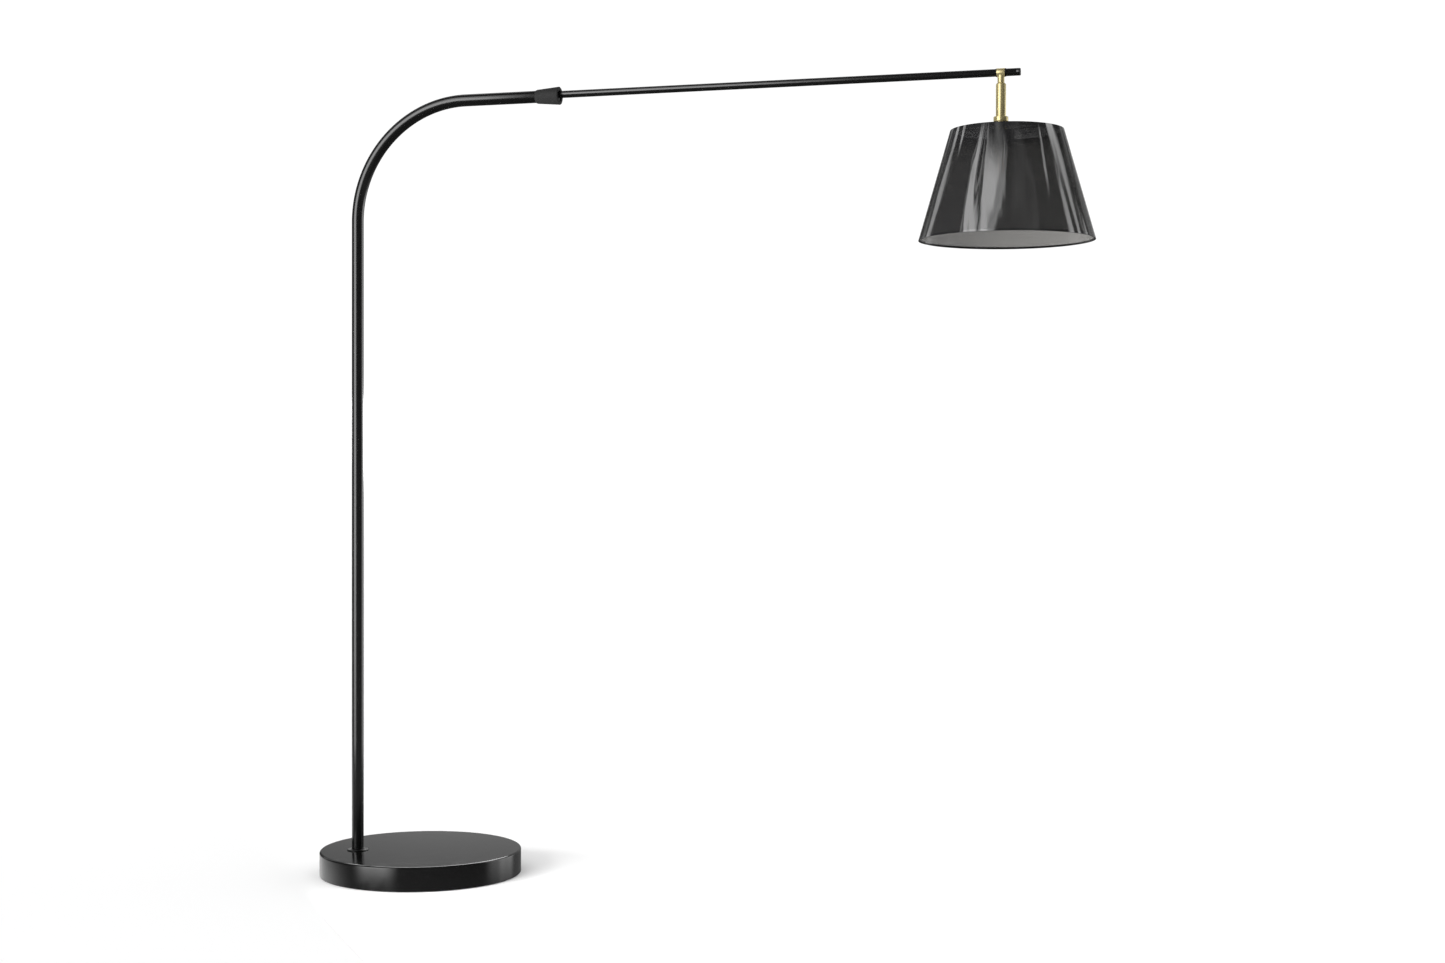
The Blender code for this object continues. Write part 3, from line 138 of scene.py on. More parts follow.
# The window stands low at the left, the card lights the inside of the shade from below, and the strip behind the
# base faces down, so that it shows only in the rolled edge of the cover.
window_data = bpy.data.lights.new("low_window_at_the_left", "SUN")
window_data.energy = 5.4
window_data.angle = math.radians(24)
window = bpy.data.objects.new("low_window_at_the_left", window_data)
window.rotation_euler = Vector((0.86, 0.48, -0.085)).to_track_quat("-Z", "Y").to_euler()
window.visible_glossy = False
bpy.context.scene.collection.objects.link(window)
bounce_data = bpy.data.lights.new("card_below_left_of_the_shade", "AREA")
bounce_data.size = 0.8
bounce_data.energy = 36.0
bounce = bpy.data.objects.new("card_below_left_of_the_shade", bounce_data)
bounce.location = (0.1, -0.9, 0.25)
bounce.rotation_euler = Vector((1.25, 0.95, 1.15)).to_track_quat("-Z", "Y").to_euler()
bounce.visible_glossy = False
bpy.context.scene.collection.objects.link(bounce)
strip_data = bpy.data.lights.new("strip_behind_the_base", "AREA")
strip_data.shape = "RECTANGLE"
strip_data.size = 1.6
strip_data.size_y = 0.7
strip_data.energy = 18.0
strip = bpy.data.objects.new("strip_behind_the_base", strip_data)
strip.location = (-0.15, 0.95, 0.95)
strip.rotation_euler = Vector((0.0, -0.30, -0.95)).to_track_quat("-Z", "Y").to_euler()
strip.visible_camera = False
strip.visible_diffuse = False
bpy.context.scene.collection.objects.link(strip)


def linear(hex_colour):
    """An sRGB hex colour as the linear colour that a shader takes."""
    parts = [int(hex_colour[i:i + 2], 16) / 255 for i in (1, 3, 5)]
    return (*[c / 12.92 if c <= 0.04045 else ((c + 0.055) / 1.055) ** 2.4 for c in parts], 1.0)


bpy.ops.object.select_all(action="DESELECT")
bpy.ops.mesh.primitive_plane_add(size=40.0, location=(0, 0, -0.0005))
floor = bpy.context.object
floor.name = "studio_floor"
# Emulsion paint, rolled on: an even matt white with no shine.
floor_paint = bpy.data.materials.new("matt_white_floor")
floor_paint.use_nodes = True
floor_paint.node_tree.nodes["Principled BSDF"].inputs["Base Color"].default_value = linear("#fbfbfb")
floor_paint.node_tree.nodes["Principled BSDF"].inputs["Roughness"].default_value = 1.0
floor_paint.node_tree.nodes["Principled BSDF"].inputs["Specular IOR Level"].default_value = 0.0
floor.data.materials.append(floor_paint)
floor.visible_glossy = False


# ---- Base cover -------------------------------------------------------------------------------------
# A spun steel dish, closed on top and open below, with a rolled edge, enamelled gloss black. It covers the ballast,
# the column's foot comes up through a hole near its edge, and a hole in its wall takes the lead's grommet.
def turned(name, outline, centre, steps=96, along_x=False):
    """Draws half a section by extruding one point, as (radius, height) steps, and spins it as on a lathe."""
    bpy.ops.object.select_all(action="DESELECT")
    bpy.ops.mesh.primitive_plane_add(size=0.001)
    piece = bpy.context.object
    piece.name = name
    bpy.ops.object.mode_set(mode="EDIT")
    bpy.ops.mesh.select_all(action="SELECT")
    bpy.ops.mesh.merge(type="CENTER")
    spots = []
    for radius, height in outline:
        spots.append(Vector((height, 0, radius) if along_x else (radius, 0, height)) + Vector(centre))
    bpy.ops.transform.translate(value=spots[0])
    for before, after in zip(spots, spots[1:]):
        bpy.ops.mesh.extrude_region_move(TRANSFORM_OT_translate={"value": after - before})
    bpy.ops.mesh.select_all(action="SELECT")
    bpy.ops.mesh.spin(
        steps=steps, angle=math.tau, center=centre, axis=(1, 0, 0) if along_x else (0, 0, 1),
    )
    bpy.ops.mesh.select_all(action="SELECT")
    bpy.ops.mesh.remove_doubles(threshold=0.000002)
    bpy.ops.mesh.normals_make_consistent(inside=False)
    bpy.ops.object.mode_set(mode="OBJECT")
    return piece


def soften(piece, width=0.0, segments=3, angle=40):
    """Rounds the piece's sharp edges by a small width and shades it smooth between them."""
    if width:
        bevel = piece.modifiers.new("edges", "BEVEL")
        bevel.width = width
        bevel.segments = segments
        bevel.limit_method = "ANGLE"
        bevel.angle_limit = math.radians(angle)
        bevel.use_clamp_overlap = True
        bpy.context.view_layer.objects.active = piece
        bpy.ops.object.modifier_apply(modifier=bevel.name)
    bpy.ops.object.select_all(action="DESELECT")
    piece.select_set(True)
    bpy.context.view_layer.objects.active = piece
    bpy.ops.object.shade_smooth_by_angle(angle=math.radians(30))
    return piece


def bore(piece, radius, start, end, sides=64):
    """Drills a round hole between two points."""
    run = Vector(end) - Vector(start)
    bpy.ops.object.select_all(action="DESELECT")
    bpy.ops.mesh.primitive_cylinder_add(
        vertices=sides, radius=radius, depth=run.length, location=(Vector(start) + Vector(end)) / 2,
        rotation=run.to_track_quat("Z", "Y").to_euler(),
    )
    carve(piece, bpy.context.object, "DIFFERENCE")


def carve(piece, tool, operation):
    """Cuts the tool from the piece, or joins it, and removes the tool."""
    cut = piece.modifiers.new("cut", "BOOLEAN")
    cut.object = tool
    cut.operation = operation
    cut.solver = "EXACT"
    bpy.context.view_layer.objects.active = piece
    bpy.ops.object.modifier_apply(modifier=cut.name)
    bpy.data.objects.remove(tool)


def corner(radius, centre_r, centre_z, start, end, steps):
    """Points on a rounded corner of a section, from one angle to another in degrees."""
    angles = [math.radians(start + (end - start) * i / steps) for i in range(steps + 1)]
    return [(centre_r + radius * math.cos(a), centre_z + radius * math.sin(a)) for a in angles]


def paint(name, hex_colour, roughness, metallic=0.0):
    """A new material with its shader's plain settings, and the tree and shader to add detail to."""
    material = bpy.data.materials.new(name)
    material.use_nodes = True
    shader = material.node_tree.nodes["Principled BSDF"]
    shader.inputs["Base Color"].default_value = linear(hex_colour)
    shader.inputs["Roughness"].default_value = roughness
    shader.inputs["Metallic"].default_value = metallic
    return material, material.node_tree, shader


def grain(tree, shader, size, depth, low, high, stretch=(1, 1, 1), detail=2.0):
    """Unevenness of a size and depth in millimetres, which also varies the roughness from low to high."""
    place = add_node(tree, "ShaderNodeTexCoord").outputs["Object"]
    place = add_node(tree, "ShaderNodeMapping", {"Vector": place, "Scale": stretch}).outputs[0]
    noise = {"Vector": place, "Scale": 1000 / size, "Detail": detail}
    noise = add_node(tree, "ShaderNodeTexNoise", noise).outputs[0]
    rough = add_node(tree, "ShaderNodeMapRange", {0: noise, 1: 0.3, 2: 0.7, 3: low, 4: high}).outputs[0]
    tree.links.new(rough, shader.inputs["Roughness"])
    bump = add_node(tree, "ShaderNodeBump", {"Height": noise, "Strength": 1.0, "Distance": depth / 1000})
    tree.links.new(bump.outputs[0], shader.inputs["Normal"])
    return noise


foot_x, foot_y = -0.124, -0.055
cover_low, cover_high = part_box("base_cover")
cover_r, cover_top, cover_wall, cover_edge = cover_high.x, cover_high.z, 0.0015, 0.004
edge_r, edge_z = cover_r - cover_edge, cover_top - cover_edge
section = [(0, cover_top)] + corner(cover_edge, edge_r, edge_z, 90, 0, 10)
section += [(cover_r, cover_low.z), (cover_r - cover_wall, cover_low.z)]
section += corner(cover_edge - cover_wall, edge_r, edge_z, 0, 90, 6)
section += [(0, cover_top - cover_wall)]
cover = turned("cover", section, (0, 0, 0), 256)
foot_hole_r, grommet_hole_r, grommet_z, grommet_bearing = 0.0086, 0.0048, 0.0116, math.radians(115)
bore(cover, foot_hole_r, (foot_x, foot_y, 0.03), (foot_x, foot_y, 0.08))
grommet_way = Vector((math.cos(grommet_bearing), math.sin(grommet_bearing), 0))
grommet_at = grommet_way * cover_r + Vector((0, 0, grommet_z))
bore(cover, grommet_hole_r, grommet_at - grommet_way * 0.01, grommet_at + grommet_way * 0.01, 32)
soften(cover)
# Stove enamel, sprayed and baked: deep black with a wet gloss. A slow 30 mm wave bends what it mirrors a little,
# and the gloss is duller in patches where hands rub it.
enamel, tree, shader = paint("gloss_black_stove_enamel", "#060606", 0.16)
shader.inputs["IOR"].default_value = 1.65
grain(tree, shader, 30.0, 0.01, 0.11, 0.17)
cover.data.materials.append(enamel)
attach(cover, "base")
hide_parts("base_cover")


# ---- Pole -------------------------------------------------------------------------------------------
# A one-inch steel tube with a thin wall, drawn round a former from upright to level. It is powder-coated black,
# stands on a stud in the base that lets it turn, and carries the collar and the arm at its level end.
pole_low, pole_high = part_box("pole_tube")
pole_r, pole_wall, bend_r, stub_z = 0.0127, 0.0012, 0.251, 1.663
bend_start = stub_z - bend_r
bpy.ops.object.select_all(action="DESELECT")
bpy.ops.mesh.primitive_circle_add(vertices=64, radius=pole_r, location=(foot_x, foot_y, pole_low.z))
pole = bpy.context.object
pole.name = "pole"
bpy.ops.object.mode_set(mode="EDIT")
bpy.ops.mesh.select_all(action="SELECT")
upright_lengths = 6
for _ in range(upright_lengths):
    bpy.ops.mesh.extrude_region_move(
        TRANSFORM_OT_translate={"value": (0, 0, (bend_start - pole_low.z) / upright_lengths)},
    )
bend_centre = (foot_x + bend_r, foot_y, bend_start)
bpy.ops.mesh.spin(steps=48, angle=math.pi / 2, center=bend_centre, axis=(0, -1, 0))
bpy.ops.mesh.extrude_region_move(TRANSFORM_OT_translate={"value": (pole_high.x - foot_x - bend_r, 0, 0)})
bpy.ops.mesh.select_all(action="SELECT")
bpy.ops.mesh.remove_doubles(threshold=0.000002)
bpy.ops.mesh.normals_make_consistent(inside=False)
bpy.ops.object.mode_set(mode="OBJECT")
bpy.ops.object.transform_apply(location=True, rotation=True, scale=True)
wall = pole.modifiers.new("wall", "SOLIDIFY")
wall.thickness = pole_wall
wall.offset = -1.0
bpy.ops.object.modifier_apply(modifier=wall.name)
soften(pole, 0.0002, 2, 60)
# Powder coat, sprayed dry and melted on: black with a satin gloss, over a soft 1.5 mm orange peel.
powder, tree, shader = paint("satin_black_powder_coat", "#060606", 0.22)
shader.inputs["IOR"].default_value = 1.8
grain(tree, shader, 1.5, 0.002, 0.18, 0.25)
pole.data.materials.append(powder)
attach(pole, "column")
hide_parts("pole_tube")


# ---- Foot ring and bush -----------------------------------------------------------------------------
# A low moulded nylon ring hides the hole in the cover. The pole turns in a flanged nylon bush pressed into that
# hole, and the flange shows as a thin line under the pole.
ring_low, ring_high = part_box("foot_ring")
ring_r, ring_bore, ring_chamfer = (ring_high.x - ring_low.x) / 2, 0.0092, 0.0008
ring = turned("foot_trim_ring", [
    (ring_bore, ring_high.z), (ring_r - ring_chamfer, ring_high.z), (ring_r, ring_high.z - ring_chamfer),
    (ring_r, ring_low.z), (ring_bore, ring_low.z), (ring_bore, ring_high.z),
], (foot_x, foot_y, 0))
soften(ring, 0.0003)
# Nylon, injection-moulded in a spark-etched mould: black and quietly dull, with a fine 0.8 mm texture.
moulded, tree, shader = paint("satin_black_moulded_nylon", "#050505", 0.35)
grain(tree, shader, 0.8, 0.01, 0.30, 0.42)
ring.data.materials.append(moulded)
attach(ring, "base")
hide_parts("foot_ring")
bush_low, bush_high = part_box("foot_bush")
bush_bore, bush_r, flange_z = 0.0062, 0.0083, bush_high.z - 0.001
bush = turned("stud_bush", [
    (bush_bore, bush_high.z), (pole_r, bush_high.z), (pole_r, flange_z), (bush_r, flange_z),
    (bush_r, bush_low.z), (bush_bore, bush_low.z), (bush_bore, bush_high.z),
], (foot_x, foot_y, 0), 64)
soften(bush, 0.0001)
bush.data.materials.append(moulded)
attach(bush, "base")
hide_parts("foot_bush")


# ---- Cord grommet -----------------------------------------------------------------------------------
# A moulded rubber grommet, snapped into the cover's wall at the back. It has a rounded lip outside, a waist in the
# hole, a tail inside, and a bore for the lead.
lip_r, lip_t, tail_r, bore_r, waist_r, waist_end, tail_end = 0.0065, 0.0015, 0.0054, 0.0028, 0.0045, -0.0020, -0.0035
grommet = turned("rubber_grommet", [
    (bore_r, lip_t), (bore_r + 0.0006, lip_t + 0.0003), (lip_r - 0.0010, lip_t), (lip_r - 0.0003, lip_t * 0.7),
    (lip_r, lip_t * 0.3), (lip_r, 0.0001), (waist_r, 0.0001), (waist_r, waist_end), (tail_r, waist_end),
    (tail_r, tail_end), (bore_r, tail_end), (bore_r, lip_t),
], (0, 0, 0), 48)
bpy.ops.object.select_all(action="DESELECT")
grommet.select_set(True)
bpy.ops.object.transform_apply(location=True, rotation=True, scale=True)
grommet.rotation_euler = grommet_way.to_track_quat("Z", "Y").to_euler()
grommet.location = grommet_at
bpy.ops.object.transform_apply(location=True, rotation=True, scale=True)
soften(grommet)
# Rubber, moulded and left as it is: soft black with hardly any shine, and a dusty 0.6 mm grain.
rubber, tree, shader = paint("moulded_black_rubber", "#0d0d0d", 0.6)
grain(tree, shader, 0.6, 0.02, 0.5, 0.7)
grommet.data.materials.append(rubber)
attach(grommet, "base")
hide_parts("cord_grommet")


# ---- Twist-lock collar ------------------------------------------------------------------------------
# A tapered aluminium sleeve, turned from bar, bead-blasted and anodised black. A quarter turn screws it along the
# pole's nose and squeezes the collet onto the arm.
collar_low, collar_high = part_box("clamp_collar")
collar_r = (collar_high.z - collar_low.z) / 2 - 0.0002
collar_back, collar_front, collar_chamfer = collar_low.x, collar_high.x, 0.0008
axis_y, nose_bore, mouth_r, lip = foot_y, 0.0145, 0.0115, 0.0020
back_r, back_edge_r, back_edge_l, pole_bore, pole_bore_l = 0.0147, 0.0134, 0.0035, 0.0130, 0.0092
collar = turned("twist_collar", [
    (mouth_r, collar_front), (collar_r - collar_chamfer, collar_front), (collar_r, collar_front - collar_chamfer),
    (back_r, collar_back + back_edge_l), (back_edge_r, collar_back), (pole_bore, collar_back),
    (pole_bore, collar_back + pole_bore_l), (nose_bore, collar_back + pole_bore_l),
    (nose_bore, collar_front - lip), (mouth_r, collar_front - lip), (mouth_r, collar_front),
], (0, axis_y, stub_z), 96, along_x=True)
soften(collar, 0.0004)
# Aluminium, bead-blasted and anodised: charcoal black and dead matt, with a faint frost. The pits of the beads are
# drawn 0.8 mm wide, because real ones are too fine to show.
blasted, tree, shader = paint("bead_blasted_black_anodised_aluminium", "#222222", 0.6)
shader.inputs["Specular IOR Level"].default_value = 0.25
grain(tree, shader, 0.8, 0.01, 0.55, 0.7)
collar.data.materials.append(blasted)
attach(collar, "collar")
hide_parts("clamp_collar")


# ---- Collet -----------------------------------------------------------------------------------------
# A slit ring inside the collar's mouth, turned from black nylon, that the collar squeezes onto the arm. Its bore
# is above its own axis, so the arm can't roll in it.
collet_low, collet_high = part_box("grip_collet")
arm_z = stub_z + 0.0025
collet_r, collet_front_r, taper_l, arm_hole_r = 0.0142, 0.0128, 0.008, 0.0077
collet = turned("split_collet", [
    (0, collet_high.x), (collet_front_r, collet_high.x), (collet_r, collet_high.x - taper_l),
    (collet_r, collet_low.x), (0, collet_low.x),
], (0, axis_y, stub_z), 64, along_x=True)
bore(collet, arm_hole_r, (collet_low.x - 0.01, axis_y, arm_z), (collet_high.x + 0.01, axis_y, arm_z))
bpy.ops.object.select_all(action="DESELECT")
bpy.ops.mesh.primitive_cube_add(size=1.0, location=(collet_low.x + 0.01, axis_y, arm_z + 0.015),
                                scale=(0.05, 0.0015, 0.030))
carve(collet, bpy.context.object, "DIFFERENCE")
soften(collet, 0.0002)
collet.data.materials.append(moulded)
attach(collet, "column")
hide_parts("grip_collet")


# ---- Arm --------------------------------------------------------------------------------------------
# A 15 mm steel tube, powder-coated like the pole, with a slot in its underside for the lead. A turned plug closes
# its end, and two nylon snap rings keep the hanger in its place.
arm_low, arm_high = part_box("arm_tube")
arm_r, arm_wall = 0.0075, 0.001
bpy.ops.object.select_all(action="DESELECT")
bpy.ops.mesh.primitive_cylinder_add(
    vertices=64, radius=arm_r, depth=arm_high.x - arm_low.x, end_fill_type="NOTHING",
    location=((arm_low.x + arm_high.x) / 2, axis_y, arm_z), rotation=(0, math.pi / 2, 0),
)
arm = bpy.context.object
arm.name = "arm"
bpy.ops.object.transform_apply(location=True, rotation=True, scale=True)
wall = arm.modifiers.new("wall", "SOLIDIFY")
wall.thickness = arm_wall
wall.offset = -1.0
bpy.ops.object.modifier_apply(modifier=wall.name)
hanger_x = 1.2675
bpy.ops.object.select_all(action="DESELECT")
bpy.ops.mesh.primitive_cube_add(
    size=1.0, location=(hanger_x, axis_y, arm_z - 0.0085), scale=(0.0072, 0.03, 0.012),
)
carve(arm, bpy.context.object, "DIFFERENCE")
soften(arm, 0.0001, 2, 60)
arm.data.materials.append(powder)
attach(arm, "arm")
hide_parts("arm_tube")
cap_low, cap_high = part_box("arm_end_cap")
plug_r, plug_head, plug_chamfer = 0.0061, 0.0075, 0.0008
cap = turned("arm_end_plug", [
    (0, cap_high.x), (arm_r - plug_chamfer, cap_high.x), (arm_r, cap_high.x - plug_chamfer),
    (arm_r, cap_high.x - plug_head), (plug_r, cap_high.x - plug_head), (plug_r, cap_low.x), (0, cap_low.x),
], (0, axis_y, arm_z), 64, along_x=True)
soften(cap, 0.0002)
cap.data.materials.append(powder)
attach(cap, "arm")
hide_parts("arm_end_cap")
inner_low, inner_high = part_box("stop_ring_inner")
snap_r, snap_bore = inner_high.z - arm_z, arm_r + 0.0001
inner_snap = turned("snap_ring_inner", [
    (snap_bore, inner_high.x), (snap_r, inner_high.x), (snap_r, inner_low.x), (snap_bore, inner_low.x),
    (snap_bore, inner_high.x),
], (0, axis_y, arm_z), 64, along_x=True)
soften(inner_snap, 0.0002)
inner_snap.data.materials.append(moulded)
outer_snap = inner_snap.copy()
outer_snap.data = inner_snap.data.copy()
outer_snap.name = "snap_ring_outer"
bpy.context.collection.objects.link(outer_snap)
bpy.ops.object.select_all(action="DESELECT")
outer_snap.select_set(True)
bpy.context.view_layer.objects.active = outer_snap
bpy.ops.transform.translate(value=(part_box("stop_ring_outer")[0].x - inner_low.x, 0, 0))
bpy.ops.object.transform_apply(location=True, rotation=True, scale=True)
for snap, node in ((inner_snap, "stop_ring_inner"), (outer_snap, "stop_ring_outer")):
    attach(snap, "arm")
    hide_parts(node)


# ---- Brass hanger -----------------------------------------------------------------------------------
# A tee whose sleeve turns on the arm, a tube, and a flange for the shade, all turned from brass bar. They are
# screwed together on one hollow nipple that carries the lead.
# Brass, turned, rubbed round with a fine pad and lacquered: pale gold with a satin shine. The pad's lines run round
# the piece, and are drawn 1.2 mm apart, because real ones are too fine to show.
brass, tree, shader = paint("satin_turned_brass", "#cdbf8d", 0.28, 0.8)
grain(tree, shader, 1.2, 0.001, 0.24, 0.33, (0.02, 0.02, 1.0))
tee_low, tee_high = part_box("tee_sleeve")
sleeve_r = tee_high.z - arm_z
neck_r, neck_top, thread_r = 0.0069, arm_z - 0.004, 0.0054
tee = turned("brass_tee", [
    (0, tee_high.x), (sleeve_r, tee_high.x), (sleeve_r, tee_low.x), (0, tee_low.x),
], (0, axis_y, arm_z), 96, along_x=True)
bpy.ops.object.select_all(action="DESELECT")
bpy.ops.mesh.primitive_cylinder_add(
    vertices=96, radius=neck_r, depth=neck_top - tee_low.z,
    location=(hanger_x, axis_y, (neck_top + tee_low.z) / 2),
)
carve(tee, bpy.context.object, "UNION")
bore(tee, arm_hole_r, (tee_low.x - 0.01, axis_y, arm_z), (tee_high.x + 0.01, axis_y, arm_z))
bore(tee, thread_r, (hanger_x, axis_y, tee_low.z - 0.01), (hanger_x, axis_y, tee_low.z + 0.009))
soften(tee, 0.0004, 3, 30)
tee.data.materials.append(brass)
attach(tee, "hanger")
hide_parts("tee_sleeve")
drop = (hanger_x, axis_y, 0)
tube_low, tube_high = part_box("stem_tube")
tube_r, tube_chamfer = (tube_high.x - tube_low.x) / 2, 0.0023
stem = turned("brass_stem", [
    (thread_r, tube_high.z), (tube_r - tube_chamfer, tube_high.z), (tube_r, tube_high.z - tube_chamfer),
    (tube_r, tube_low.z), (thread_r, tube_low.z), (thread_r, tube_high.z),
], drop)
soften(stem, 0.0003)
stem.data.materials.append(brass)
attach(stem, "hanger")
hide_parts("stem_tube")
flange_low, flange_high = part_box("stem_flange")
flange_r, shelf = (flange_high.x - flange_low.x) / 2, flange_high.z - 0.010
flange_chamfer, spigot_r = 0.0008, 0.0115
flange = turned("brass_shade_flange", [
    (thread_r, flange_high.z), (flange_r - flange_chamfer, flange_high.z),
    (flange_r, flange_high.z - flange_chamfer), (flange_r, shelf + flange_chamfer),
    (flange_r - flange_chamfer, shelf), (spigot_r, shelf), (spigot_r, flange_low.z),
    (thread_r, flange_low.z), (thread_r, flange_high.z),
], drop)
soften(flange, 0.0003)
flange.data.materials.append(brass)
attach(flange, "hanger")
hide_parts("stem_flange")


# ---- Lamp holder ------------------------------------------------------------------------------------
# A drawn steel cup, powder-coated black, over a moulded phenolic body with a rolled brass screw shell inside. The
# hanger's nipple and a nut hold it under the shade's spider.
cup_low, cup_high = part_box("holder_cup")
cup_r, cup_wall, cup_edge = (cup_high.y - cup_low.y) / 2, 0.001, 0.003
edge_r, edge_z = cup_r - cup_edge, cup_high.z - cup_edge
section = [(thread_r, cup_high.z)] + corner(cup_edge, edge_r, edge_z, 90, 0, 8)
section += [(cup_r, cup_low.z), (cup_r - cup_wall, cup_low.z)]
section += corner(cup_edge - cup_wall, edge_r, edge_z, 0, 90, 5)
section += [(thread_r, cup_high.z - cup_wall), (thread_r, cup_high.z)]
cup = turned("holder_steel_cup", section, drop)
soften(cup, 0.0002)
cup.data.materials.append(powder)
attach(cup, "hanger")
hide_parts("holder_cup")
body_low, body_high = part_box("holder_insulator")
body_r, body_wall, body_floor, lead_hole_r = (body_high.y - body_low.y) / 2, 0.0035, 0.003, 0.0028
body = turned("holder_phenolic_body", [
    (lead_hole_r, body_high.z), (body_r, body_high.z), (body_r, body_low.z), (body_r - body_wall, body_low.z),
    (body_r - body_wall, body_high.z - body_floor), (lead_hole_r, body_high.z - body_floor),
    (lead_hole_r, body_high.z),
], drop, 64)
soften(body, 0.0003)
# Phenolic resin, hot-moulded: brown-black with a low shine, and a faint 1 mm flow mottle.
phenolic, tree, shader = paint("moulded_black_phenolic", "#15110e", 0.4)
grain(tree, shader, 1.0, 0.01, 0.33, 0.48)
body.data.materials.append(phenolic)
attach(body, "hanger")
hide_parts("holder_insulator")


def screw_wall(radius, wall, low, high, pitch=0.0036, ripple=0.0005):
    """A thin wall rolled into a lamp-cap thread, drawn as even round ripples."""
    count = int((high - low) / pitch * 8)
    outside = []
    for i in range(count + 1):
        fade = min(1.0, i / 4, (count - i) / 4)
        wave = 0.5 - 0.5 * math.cos(math.tau * i / 8)
        outside.append((radius - ripple * (1 - fade * wave), high - (high - low) * i / count))
    inside = [(r - wall, z) for r, z in reversed(outside)]
    return outside + inside + outside[:1]


shell_low, shell_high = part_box("screw_shell")
screw = turned(
    "holder_screw_shell", screw_wall(0.0152, 0.0006, shell_low.z, shell_high.z), drop, 64,
)
soften(screw)
# Brass sheet, rolled into a thread and left bare: deep yellow, duller in 3 mm patches where the rolls rubbed.
rolled, tree, shader = paint("rolled_brass_sheet", "#cda75a", 0.3, 1.0)
grain(tree, shader, 3.0, 0.01, 0.24, 0.38)
screw.data.materials.append(rolled)
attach(screw, "hanger")
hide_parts("screw_shell")


# ---- Bulb -------------------------------------------------------------------------------------------
# A clear tubular bulb: a blown glass envelope cemented in a nickel-plated screw cap, and a pressed glass stem that
# holds four ceramic rods coated with amber phosphor.
cap_low, cap_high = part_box("bulb_cap")
lamp_cap = turned("bulb_screw_cap", screw_wall(0.0131, 0.0004, cap_low.z, cap_high.z), drop, 64)
soften(lamp_cap)
# Nickel plate on rolled brass: warm silver with a soft mirror shine, in 3 mm patches.
nickel, tree, shader = paint("nickel_plated_brass", "#cfccc2", 0.22, 1.0)
grain(tree, shader, 3.0, 0.01, 0.18, 0.30)
lamp_cap.data.materials.append(nickel)
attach(lamp_cap, "hanger")
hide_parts("bulb_cap")
glass_low, glass_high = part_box("bulb_glass")
glass_r, glass_wall, neck, tip_r = 0.0150, 0.0008, 0.0117, 0.012
shoulder = glass_high.z - 0.006
outer = [
    (neck, glass_high.z), (neck, shoulder), (neck + 0.0004, shoulder - 0.002), (glass_r - 0.0006, shoulder - 0.008),
]
outer += [(glass_r, shoulder - 0.011)] + corner(tip_r, glass_r - tip_r, glass_low.z + tip_r, 0, -90, 10)
outer += [(0, glass_low.z)]
inner = [(max(0, r - glass_wall), z) for r, z in outer[:5]]
inner += corner(tip_r - glass_wall, glass_r - tip_r, glass_low.z + tip_r, 0, -90, 10)
inner += [(0, glass_low.z + glass_wall)]
envelope = turned("bulb_envelope", outer[::-1] + inner, drop, 96)
soften(envelope)
# Soda glass, blown and fire-polished: clear with a slight warm tint, and a slow 30 mm wave in its wall.
soda, tree, shader = paint("blown_soda_glass", "#fdf8ec", 0.0)
shader.inputs["Transmission Weight"].default_value = 1.0
shader.inputs["IOR"].default_value = 1.5
grain(tree, shader, 30.0, 0.01, 0.0, 0.03)
envelope.data.materials.append(soda)
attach(envelope, "hanger")
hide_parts("bulb_glass")
mount_low, mount_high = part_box("filament_mount")
mount = turned("bulb_glass_stem", [
    (0, mount_high.z), (0.0075, mount_high.z), (0.0050, mount_high.z - 0.002), (0.0036, mount_high.z - 0.006),
    (0.0034, mount_low.z + 0.0012), (0.0070, mount_low.z + 0.0008), (0.0070, mount_low.z), (0, mount_low.z),
], drop, 48)
soften(mount, 0.0002)
mount.data.materials.append(soda)
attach(mount, "hanger")
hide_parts("filament_mount")
# Phosphor in silicone, dipped over ceramic: amber and matt. Its grains are drawn 1.5 mm wide, so that they show.
phosphor, tree, shader = paint("amber_phosphor_coat", "#d98a1e", 0.6)
coat = grain(tree, shader, 1.5, 0.05, 0.5, 0.7)
tint = add_node(tree, "ShaderNodeMix", {0: coat, 6: linear("#c97712"), 7: linear("#e9a544")}, data_type="RGBA")
tree.links.new(tint.outputs[2], shader.inputs["Base Color"])
low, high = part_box("filament_1")
middle, rod_r = (low + high) / 2, (high.x - low.x) / 2
first_rod = turned("amber_rod_1", [(0, high.z), (rod_r, high.z), (rod_r, low.z), (0, low.z)],
                   (middle.x, middle.y, 0), 24)
soften(first_rod, 0.0002)
first_rod.data.materials.append(phosphor)
rods = [first_rod]
for number in range(2, 5):
    rod = first_rod.copy()
    rod.data = first_rod.data.copy()
    rod.name = f"amber_rod_{number}"
    bpy.context.collection.objects.link(rod)
    bpy.ops.object.select_all(action="DESELECT")
    rod.select_set(True)
    bpy.context.view_layer.objects.active = rod
    bpy.ops.transform.translate(value=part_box(f"filament_{number}")[0] - low)
    bpy.ops.object.transform_apply(location=True, rotation=True, scale=True)
    rods.append(rod)
for number, rod in enumerate(rods, 1):
    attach(rod, "hanger")
    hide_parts(f"filament_{number}")


# ---- Shade ------------------------------------------------------------------------------------------
# Smoked PVC sheet wrapped to a cone over a silvered film, with a hem at both edges and a wire in the lower one. It
# hangs on a spider, and the bulb shows faintly through it.
shade_low, shade_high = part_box("shade_shell")
shade_x = (shade_low.x + shade_high.x) / 2
shade_top, shade_bottom, shade_top_r, shade_bottom_r = shade_high.z, shade_low.z, 0.1120, 0.1745
shade_axis = (shade_x, axis_y, 0)


